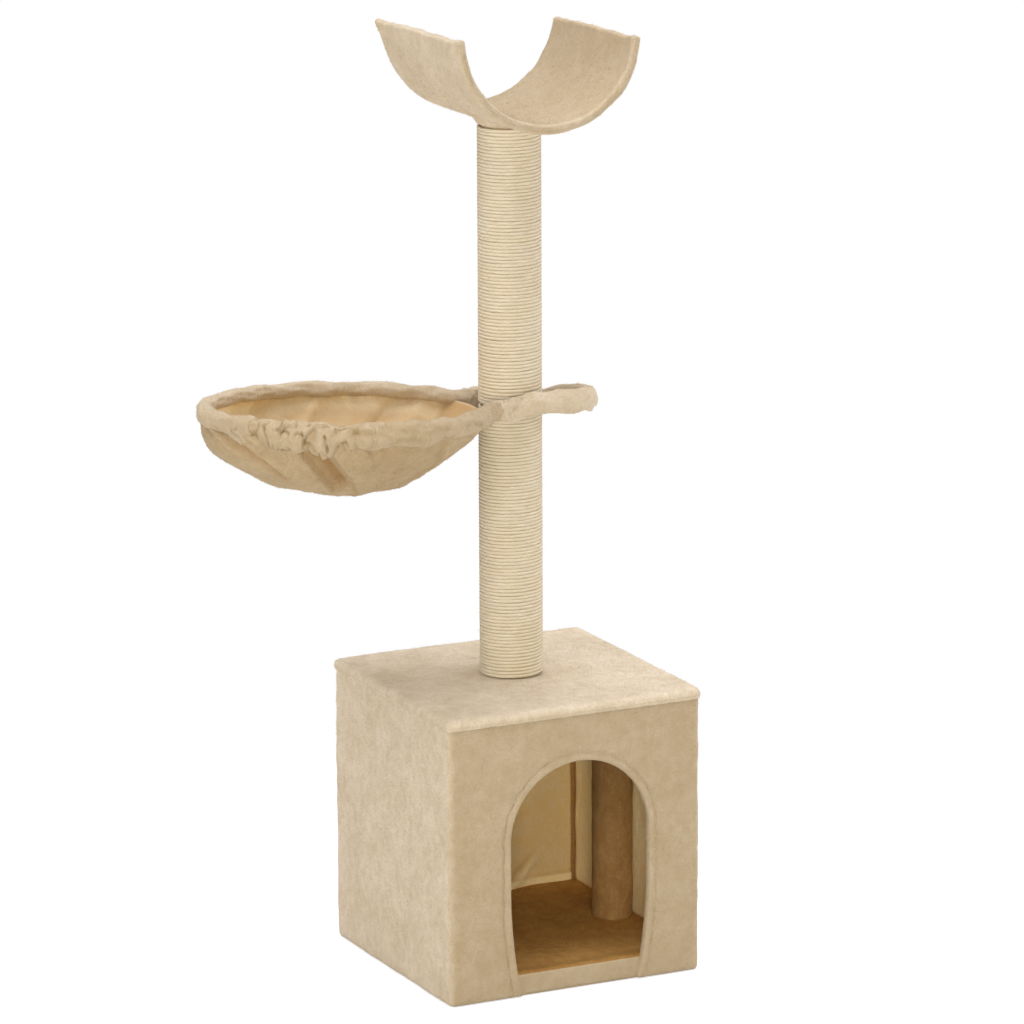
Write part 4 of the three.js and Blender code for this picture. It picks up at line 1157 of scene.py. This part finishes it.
def perch_stations():
    """The insets and places of the cover's sections, from its far end to its near end. Each end closes
    in a rounded edge and a flat face."""
    half_length = PERCH_LENGTH / 2
    flat_end = half_length - PERCH_EDGE
    ends = [
        (PERCH_HALF_THICK - 0.05, half_length + 0.1), (PERCH_HALF_THICK - 0.5, half_length + 0.1),
        (PERCH_HALF_THICK - 1.2, half_length + 0.05),
        ((PERCH_HALF_THICK + PERCH_EDGE) / 2, half_length),
    ]
    for turn in np.radians(np.linspace(0, 90, 9)):
        ends.append((PERCH_EDGE * (1 - math.sin(turn)), flat_end + PERCH_EDGE * math.cos(turn)))
    between = [(0.0, y) for y in np.linspace(flat_end, -flat_end, 86)[1:-1]]
    return ends + between + [(inset, -y) for inset, y in ends[::-1]]


def pull_corners(points, turn):
    """Moves points of the cover out towards its corners; "turn" is their angle round the arc."""
    half_length = PERCH_LENGTH / 2
    for end, side, along, outwards, up, length, arc_reach in PERCH_CORNERS:
        near_end = smooth_step(points[..., 1] * end, half_length - length, half_length + 3)
        near_tip = smooth_step(turn * side, PERCH_HALF_ANGLE - arc_reach, PERCH_HALF_ANGLE + 2)
        pull = (near_end * near_tip) ** 1.2
        points[..., 1] += along * end * pull
        points[..., 0] += outwards * side * pull
        points[..., 2] += up * pull


def make_perch():
    """The perch's cover: a padded half pipe with soft edges and corners pulled out into points."""
    half_length = PERCH_LENGTH / 2
    points = np.array([perch_section(inset, y) for inset, y in perch_stations()])
    count, columns = points.shape[:2]
    radial = points * [1, 0, 1]
    distance = np.linalg.norm(radial, axis=-1)
    radial /= distance[..., None]
    outer_side = np.clip((distance - PERCH_MIDDLE) / PERCH_HALF_THICK, -1, 1)
    pillow = 0.35 + 0.35 * ripple(points, 50, 81) + 0.12 * ripple(points, 18, 82)
    points += radial * (outer_side * pillow)[..., None]
    turn = np.degrees(np.arctan2(points[..., 0], -points[..., 2]))
    pull_corners(points, turn)
    # The free edges sag a little between their corners and wave as slack cloth does.
    free_edge = smooth_step(np.abs(turn), PERCH_HALF_ANGLE - 14, PERCH_HALF_ANGLE)
    edge_wave = 0.7 * ripple(grid_points(points[..., 1], 0, 0), 40, 83)
    points[..., 2] += free_edge * (edge_wave - 0.6 + 1.7 * (turn < 0))
    near_the_end = smooth_step(np.abs(points[..., 1]), half_length - 9, half_length)
    line = grid_points(turn * 1.8, 0, np.sign(points[..., 1]) * 40)
    points += radial * (near_the_end * 0.5 * ripple(line, 28, 84))[..., None]
    faces = grid_faces(count, columns, wrap=True)
    for start in (0, (count - 1) * columns):
        faces += perch_end_faces(list(range(start, start + columns)))
    placed = on_perch(points.reshape(-1, 3)).reshape(points.shape)
    # Underneath, the slack cover lies down on the top of the post.
    rest = (1 - smooth_step(from_post(placed), 34, 40)) * (outer_side > 0)
    placed[..., 2] += rest * (post_high[2] + 0.6 - placed[..., 2])
    piece = new_mesh("perch_plush", placed, faces)
    # Painted shade: more on the trough's inner side and on its padded ends.
    inside = smooth_step(-outer_side, -0.2, 0.9)
    at_end = 1 - smooth_step(half_length - np.abs(points[..., 1]), 0.5, 5)
    mark(piece, 0.14 + 0.42 * np.maximum(inside * (1 - at_end), 0.55 * at_end))
    return piece


# ---- Stitches and fibres ---------------------------------------------

def new_tree(name, **inputs):
    """A Geometry Nodes tree that takes a mesh and the named inputs, and these as sockets."""
    tree = bpy.data.node_groups.new(name, "GeometryNodeTree")
    tree.interface.new_socket("Geometry", in_out="INPUT", socket_type="NodeSocketGeometry")
    for label, kind in inputs.items():
        tree.interface.new_socket(label, in_out="INPUT", socket_type="NodeSocket" + kind)
    tree.interface.new_socket("Geometry", in_out="OUTPUT", socket_type="NodeSocketGeometry")
    return tree, add_node(tree, "NodeGroupInput").node.outputs


def close_tree(tree, given, instances):
    real = add_node(tree, "GeometryNodeRealizeInstances", Geometry=instances)
    made = add_node(tree, "GeometryNodeSetMaterial", Geometry=real, Material=given["Finish"])
    add_node(tree, "NodeGroupOutput", Geometry=made)
    return tree


def stitch_tree():
    """Short lengths of thread in a row along the edges of a mesh."""
    tree, given = new_tree(
        "row of stitches", Spacing="Float", Length="Float", Width="Float", Finish="Material"
    )
    row = add_node(tree, "GeometryNodeMeshToCurve", Mesh=given["Geometry"])
    places = add_node(
        tree, "GeometryNodeCurveToPoints", mode="LENGTH", Curve=row, Length=given["Spacing"]
    ).node.outputs
    bead = add_node(tree, "GeometryNodeMeshUVSphere", Segments=8, Rings=5, Radius=0.5)
    size = add_node(
        tree, "ShaderNodeCombineXYZ", X=given["Width"], Y=given["Width"], Z=given["Length"]
    )
    stitches = add_node(
        tree, "GeometryNodeInstanceOnPoints", Points=places["Points"], Instance=bead,
        Rotation=places["Rotation"], Scale=size,
    )
    return close_tree(tree, given, stitches)


def fibre_tree():
    """Thin pointed fibres scattered on a surface, leaning at random and drooping a little."""
    tree, given = new_tree(
        "scattered fibres", Density="Float", Length="Float", Width="Float", Lean="Float",
        Droop="Float", Seed="Int", Finish="Material",
    )
    places = add_node(
        tree, "GeometryNodeDistributePointsOnFaces", Mesh=given["Geometry"],
        Density=given["Density"], Seed=given["Seed"],
    ).node.outputs
    fibre = add_node(
        tree, "GeometryNodeMeshCone", fill_type="NGON", Vertices=3, Radius_Bottom=given["Width"],
        Depth=given["Length"],
    )
    aside = add_node(
        tree, "FunctionNodeRandomValue", 0, data_type="FLOAT_VECTOR", at0=(-1, -1, -1),
        at1=(1, 1, 1), at8=given["Seed"],
    )
    lean = add_node(tree, "ShaderNodeVectorMath", operation="SCALE", at0=aside, Scale=given["Lean"])
    leaning = add_node(
        tree, "ShaderNodeVectorMath", operation="ADD", at0=places["Normal"], at1=lean
    )
    down = add_node(tree, "ShaderNodeCombineXYZ", Z=given["Droop"])
    way = add_node(tree, "ShaderNodeVectorMath", operation="SUBTRACT", at0=leaning, at1=down)
    turn = add_node(tree, "FunctionNodeAlignRotationToVector", axis="Z", Vector=way)
    size = add_node(
        tree, "FunctionNodeRandomValue", 1, data_type="FLOAT", at2=0.55, at3=1.15,
        at8=given["Seed"],
    )
    fibres = add_node(
        tree, "GeometryNodeInstanceOnPoints", Points=places["Points"], Instance=fibre,
        Rotation=turn, Scale=size,
    )
    return close_tree(tree, given, fibres)


def grown(name, base, tree, settings):
    """What a tree makes of a mesh, as a plain mesh of its own; the base mesh is used up."""
    modifier = base.modifiers.new("nodes", "NODES")
    modifier.node_group = tree
    for socket in tree.interface.items_tree:
        if socket.in_out == "INPUT" and socket.name in settings:
            modifier[socket.identifier] = settings[socket.name]
    bpy.context.view_layer.update()
    graph = bpy.context.evaluated_depsgraph_get()
    mesh = bpy.data.meshes.new_from_object(base.evaluated_get(graph))
    base.modifiers.remove(modifier)
    bpy.data.objects.remove(base)
    mesh.name = name
    return add_object(name, mesh)


def surface_of(pieces, kept):
    """One mesh of those faces of some pieces that "kept" chooses by their middles and normals."""
    graph = bpy.context.evaluated_depsgraph_get()
    points, shades, faces, start = [], [], [], 0
    for piece in pieces:
        mesh = piece.evaluated_get(graph).to_mesh()
        count = len(mesh.vertices)
        places = np.zeros(count * 3)
        mesh.vertices.foreach_get("co", places)
        # The pile takes the painted shade of the faces it grows from.
        shade = np.zeros(count)
        if "shade" in mesh.attributes:
            mesh.attributes["shade"].data.foreach_get("value", shade)
        middles = np.array([face.center for face in mesh.polygons]) / MM
        normals = np.array([face.normal for face in mesh.polygons])
        faces += [
            [start + corner for corner in face.vertices]
            for face, chosen in zip(mesh.polygons, kept(middles, normals)) if chosen
        ]
        points.append(places.reshape(-1, 3) / MM)
        shades.append(shade)
        start += count
    base = new_mesh("surface", np.concatenate(points), faces, closed=False)
    mark(base, np.concatenate(shades))
    return base


def seen_on_house(middles, normals):
    """The outer faces of the house, but for its lower edge and the roof right round the post."""
    outside = (np.abs(middles[:, 0]) > HALF_WIDTH - 1) & (np.abs(normals[:, 0]) > 0.5)
    outside &= np.sign(middles[:, 0]) == np.sign(normals[:, 0])
    outside |= (middles[:, 1] < -HALF_DEPTH + 1) & (normals[:, 1] < -0.5)
    outside |= (middles[:, 1] > HALF_DEPTH - 1) & (normals[:, 1] > 0.5)
    on_roof = middles[:, 2] > ROOF_TOP - 3
    outside |= on_roof & (normals[:, 2] > 0.3)
    outside &= middles[:, 2] > 4
    return outside & ~(on_roof & (from_post(middles) < POST_RADIUS + 3))


def clear_of_post(middles, normals):
    return from_post(middles) > POST_RADIUS + 4


def outside_of_bowl(middles, normals):
    inside = on_hammock(np.array([[RING_REACH, 0, 40.0]]))
    return clear_of_post(middles, normals) & (((middles - inside) * normals).sum(axis=1) > 0)


def above_or_below_post(middles, normals):
    """All of the perch but the underside that rests on the post."""
    return clear_of_post(middles, normals) | (middles[:, 2] > PERCH_SEAT + 8)


def round_the_post(middles, normals):
    """The outer half of the rope's turns, clear of the perch and the hammock."""
    reach = middles[:, :2] - [POST_X, POST_Y]
    outwards = (reach * normals[:, :2]).sum(axis=1) > 0.4 * POST_RADIUS
    from_hammock = np.abs(middles[:, 2] - HAMMOCK_CENTRE[2])
    return outwards & (middles[:, 2] < post_high[2] - 12) & (from_hammock > 30)


def laid_on(piece, points, ways, proud):
    """Points moved along their ways until they stand proud of a piece's surface."""
    tree = BVHTree.FromObject(piece, bpy.context.evaluated_depsgraph_get())
    reach = 30  # before and past each point
    laid = []
    for point, way in zip(points, ways):
        way = Vector(way)
        hit = tree.ray_cast((Vector(point) - reach * way) * MM, way, 2 * reach * MM)[0]
        if hit is not None:
            laid.append(np.array(hit) / MM - proud * np.array(way))
    return np.array(laid)


def thread_rows(*rows):
    """A mesh of nothing but edges, one row of them for each row of points; a row may be closed."""
    points, edges, start = [], [], 0
    for row, closed in rows:
        edges += [(start + k, start + k + 1) for k in range(len(row) - 1)]
        if closed:
            edges.append((start + len(row) - 1, start))
        points.append(row)
        start += len(row)
    mesh = bpy.data.meshes.new("thread_rows")
    mesh.from_pydata((np.concatenate(points) * MM).tolist(), edges, [])
    return add_object("thread_rows", mesh)


def doorway_row(hem):
    """Where the doorway's hem is sewn down, in its groove."""
    path, out = arch_path()
    above_floor = path[:, 1] > cover_low[2] + 4
    places = path[above_floor] + HEM_SEWN * out[above_floor]
    points = grid_points(places[:, 0], -HALF_DEPTH, places[:, 1])
    return laid_on(hem, points, np.tile([0.0, 1.0, 0.0], (len(points), 1)), 0.15)


def roof_row(roof):
    """The seam round the roof's skirt, just above its lower edge."""
    plan, normals = house_plan()
    return laid_on(roof, at_height(plan, SEAM_HEIGHT + 2.6), at_height(-normals, 0), 0.1)


def bowl_row(bowl):
    """The seam down the bowl's right side."""
    angles, depths = np.array(BOWL_SEAM, float).T
    depth = np.linspace(depths[0], depths[-1], 60)
    points = bowl_wall(np.interp(depth, depths, angles) + 2.2, depth)
    inwards = unit(np.array([RING_REACH, 0, points[:, 2].mean()]) - points)
    return laid_on(bowl, on_hammock(points), inwards @ hammock_turn().T, 0.1)


# ---- The room --------------------------------------------------------

FLOOR_GLOW = 0.5  # the floor's own light, for the eye alone
FLOOR_REACH = 25000  # from its middle to each side
SHADOW_ENDS = (0.35, 0.95)  # metres from the middle, between which the floor turns white
ROOM_LIGHT = 0.34
DAYLIGHT = (0.95, 0.975, 1.1)
WARM = (1.0, 0.955, 0.85)
MIDDLE = (0, 0, 0.5)
# Each lamp's name, place, target, size, power and colour, in metres and watts.
SOFTBOXES = (
    ("softbox_left", (-3.3, -0.9, 1.7), (0, 0, 0.35), 2.2, 36, DAYLIGHT),
    ("softbox_right", (3.2, -0.3, 1.2), MIDDLE, 1.6, 44, DAYLIGHT),
    ("softbox_top", (0.1, 0.5, 5.2), MIDDLE, 6.0, 360, DAYLIGHT),
    ("softbox_front", (-1.9, -4.2, 0.9), (0.05, 0, 0.25), 0.8, 88, WARM),
)


def seen_by_eye(tree):
    """1 for a ray from the camera, or one that it sends on through gloss or glass, and 0 for others."""
    seen = add_node(tree, "ShaderNodeLightPath", "Is Camera Ray")
    rays = seen.node.outputs
    for ray in ("Is Glossy Ray", "Is Transmission Ray"):
        seen = add_node(tree, "ShaderNodeMath", operation="MAXIMUM", at0=seen, at1=rays[ray])
    return seen


def studio_world():
    """A white backdrop that gives the room a dimmer, warmer light than it shows."""
    world = bpy.data.worlds.new("studio")
    bpy.context.scene.world = world
    world.use_nodes = True
    tree = world.node_tree
    tree.nodes.clear()
    room = add_node(tree, "ShaderNodeBackground", Color="#fffaf2", Strength=ROOM_LIGHT)
    white = add_node(tree, "ShaderNodeBackground", Color="#ffffff", Strength=1.0)
    shown = add_node(tree, "ShaderNodeMixShader", at0=seen_by_eye(tree), at1=room, at2=white)
    add_node(tree, "ShaderNodeOutputWorld", Surface=shown)


def studio_floor():
    """A pale floor that keeps the object's soft shadow and reads white to the camera further away."""
    finish, tree = new_finish("pale studio floor")
    seen = seen_by_eye(tree)
    paint = add_node(
        tree, "ShaderNodeBsdfPrincipled", Base_Color="#d9d8d5", Roughness=1.0,
        Specular_IOR_Level=0.0,
    )
    glowing = add_node(tree, "ShaderNodeMath", operation="MULTIPLY", at0=seen, at1=FLOOR_GLOW)
    glow = add_node(tree, "ShaderNodeEmission", Color="#ffffff", Strength=glowing)
    lit = add_node(tree, "ShaderNodeAddShader", at0=paint, at1=glow)
    place = add_node(tree, "ShaderNodeTexCoord", "Object")
    distance = add_node(tree, "ShaderNodeVectorMath", "Value", operation="LENGTH", at0=place)
    far = add_node(
        tree, "ShaderNodeMapRange", interpolation_type="SMOOTHSTEP", Value=distance,
        From_Min=SHADOW_ENDS[0], From_Max=SHADOW_ENDS[1],
    )
    away = add_node(tree, "ShaderNodeMath", operation="MULTIPLY", at0=far, at1=seen)
    white = add_node(tree, "ShaderNodeEmission", Color="#ffffff", Strength=1.0)
    both = add_node(tree, "ShaderNodeMixShader", at0=away, at1=lit, at2=white)
    add_node(tree, "ShaderNodeOutputMaterial", Surface=both)
    corners = FLOOR_REACH * np.array([(-1, -1, 0), (1, -1, 0), (1, 1, 0), (-1, 1, 0)])
    floor = new_mesh("studio_floor", corners, [[0, 1, 2, 3]], closed=False)
    floor.data.materials.append(finish)


add_camera()
for softbox in SOFTBOXES:
    add_softbox(*softbox)
studio_world()
studio_floor()


# ---- The finishes ----------------------------------------------------

# Outside, the pile is dense and beige, with pale tips.
outer_plush = plush_finish(
    "cut pile plush, beige", "#c3b091", "#ddceb6", "#ac9471", "#efe4cd", "#9f875f",
)
# The linings are thinner, and with less pile they glow less at grazing angles. Their pale golden colour
# is painted warm light from inside the house.
lining_plush = plush_finish(
    "thin plush lining", "#ffe09a", "#fff0c0", "#f2cc84", "#fff6d6", "#b07f3a", 0.1,
)
# On the house's floor the plush is drawn brown and dark, as painted shade inside the house.
floor_pile = plush_finish(
    "trodden floor plush", "#b27c3c", "#d7a55b", "#7e531f", "#e5bf7a", "#5c3a16", 0.1,
)
# On the inner posts the plush is drawn dark brown, as painted shade inside the house.
post_plush = plush_finish(
    "inner post plush", "#966c3a", "#ba925a", "#6a4d28", "#d4b07a", "#5a3f20", 0.1,
)
# The bowl's cloth is soft, and it is drawn darker outside than the rim, as painted shade under the
# hammock. Its inner side is drawn pale and golden as painted light, with painted shade towards the floor.
bowl_plush = plush_finish(
    "soft bowl plush", "#a5916e", "#bda886", "#8a7350", "#d3c1a0", "#966f3d",
)
bowl_inside = plush_finish(
    "soft bowl plush, inner side", "#f7e0ae", "#fff0c8", "#e8c992", "#fff4d8", "#bb945e",
    marked="shade_inside",
)
sisal = sisal_finish()
# Single hairs of sisal stand out from the rope and catch more light than it does.
sisal_hair = plain_finish("loose sisal fibre", "#cdb78c", "#efe3c8", 2.0, 0.8)
# Spun polyester is a shade darker than the plush, with a slight shine.
thread = plain_finish("polyester sewing thread", "#b39a73", "#cdb892", 0.6, 0.6)
chipboard = chipboard_finish()
# Hot-pressed, so brown, smooth and a little glossy; raw fibreboard is paler and dull.
hardboard = plain_finish("smooth hardboard", "#8f652e", "#a87c3d", 0.8, 0.6)
fibreboard = plain_finish("raw fibreboard", "#c3a577", "#d8bd91", 1.0, 0.85)
# Wound from unbleached paper: light brown, mottled and matt.
cardboard = plain_finish("wound paper tube", "#bfa682", "#d2bb98", 2.0, 0.9)
# Bright zinc on the fasteners is a cool grey metal with a soft gloss.
zinc = plain_finish("zinc plated steel", "#a9adb2", "#c3c7cb", 1.5, 0.32, 1.0, 0.00003)
# Sprayed lacquer makes the wire near black, with a low gloss.
wire = plain_finish("black lacquered steel wire", "#2c2c2e", "#3a3a3c", 1.0, 0.4, 0.0, 0.00005)

# The CAD nodes that stay as they are, by words in their names; the first match counts.
NODE_FINISHES = (
    (chipboard, ("base_board", "top_board")),
    (hardboard, ("wall_panel",)),
    (fibreboard, ("perch_board", "plug")),
    (cardboard, ("tube",)),
    (zinc, ("screw", "insert", "bolt", "stud")),
    (wire, ("hammock_frame",)),
)
for node_name, node in frame["nodes"].items():
    for finish, words in NODE_FINISHES:
        if any(word in node_name for word in words):
            node.data.materials.clear()
            node.data.materials.append(finish)
            break


# ---- The pieces ------------------------------------------------------

wall_plush = finished(make_wall_cover(), "stand", outer_plush, "wall_cover")
roof_plush = finished(make_roof_cover(), "stand", outer_plush, "roof_cover")
doorway_hem = finished(make_hem(), "stand", outer_plush, "arch_hem")
floor_plush = finished(make_floor_cover(), "stand", floor_pile, "base_cover")
floor_plush.data.materials.append(outer_plush)
for face in floor_plush.data.polygons:
    if face.center.z < (FLOOR_TOP - FLOOR_ROLL) * MM:
        face.material_index = 1
linings = {
    side: finished(
        make_front_lining() if side == "front" else make_lining(side), "stand", lining_plush,
        "wall_lining_" + side, slot="lining_plush",
    )
    for side in ("left", "right", "back", "front")
}
inner_posts = {
    side: finished(make_inner_post(side), "stand", post_plush, "inner_post_cover_" + side)
    for side in ("left", "right")
}
ropes = [
    finished(make_rope(name, node, seed, slack), "stand", sisal, node, slot="sisal_rope")
    for name, node, seed, slack in (
        ("lower_rope", "lower_sisal_rope", 91, 0.0), ("upper_rope", "upper_sisal_rope", 95, 1.0),
    )
]
loop_plush = finished(make_loop_sleeve(), "hammock", outer_plush, "loop_sleeve")
rim_plush = finished(make_rim_sleeve(), "hammock", outer_plush, "rim_sleeve")
bowl = finished(make_bowl(), "hammock", bowl_plush, "hammock_bowl")
bowl.data.materials.append(bowl_inside)
perch_plush = finished(make_perch(), "perch", outer_plush, "perch_cover")
bpy.context.view_layer.update()

stitches = stitch_tree()
SEWING = {"Spacing": 0.0052, "Length": 0.0038, "Width": 0.0009, "Finish": thread}
for name, body, rows in (
    ("house_stitches", "stand", ((doorway_row(doorway_hem), False), (roof_row(roof_plush), True))),
    ("bowl_stitches", "hammock", ((bowl_row(bowl), False),)),
):
    finished(grown(name, thread_rows(*rows), stitches, SEWING), body, thread)

fibres = fibre_tree()
PLUSH_PILE = {
    "Density": 85000.0, "Length": 0.0021, "Width": 0.00026, "Lean": 0.75, "Droop": 0.35,
    "Finish": outer_plush,
}
BOWL_PILE = {**PLUSH_PILE, "Finish": bowl_plush, "Length": 0.0015}
PERCH_PILE = {**PLUSH_PILE, "Length": 0.0017}
ROPE_HAIR = {
    **PLUSH_PILE, "Finish": sisal_hair, "Density": 9000.0, "Length": 0.006, "Width": 0.0001,
    "Lean": 1.6,
}
for name, body, pieces, kept, seed, settings, slot in (
    (
        "house_pile", "stand", (wall_plush, roof_plush, doorway_hem), seen_on_house, 7, PLUSH_PILE,
        "beige_plush",
    ),
    ("hammock_pile", "hammock", (rim_plush, loop_plush), clear_of_post, 8, PLUSH_PILE, "beige_plush"),
    ("bowl_pile", "hammock", (bowl,), outside_of_bowl, 9, BOWL_PILE, "beige_plush"),
    ("perch_pile", "perch", (perch_plush,), above_or_below_post, 10, PERCH_PILE, "beige_plush"),
    ("rope_fibres", "stand", ropes, round_the_post, 11, ROPE_HAIR, "sisal_rope"),
):
    pile = grown(name, surface_of(pieces, kept), fibres, {**settings, "Seed": seed})
    finished(pile, body, settings["Finish"], slot=slot)


# ---- How colours are shown -------------------------------------------


bpy.context.scene.view_settings.view_transform = "Standard"
bpy.context.view_layer.update()
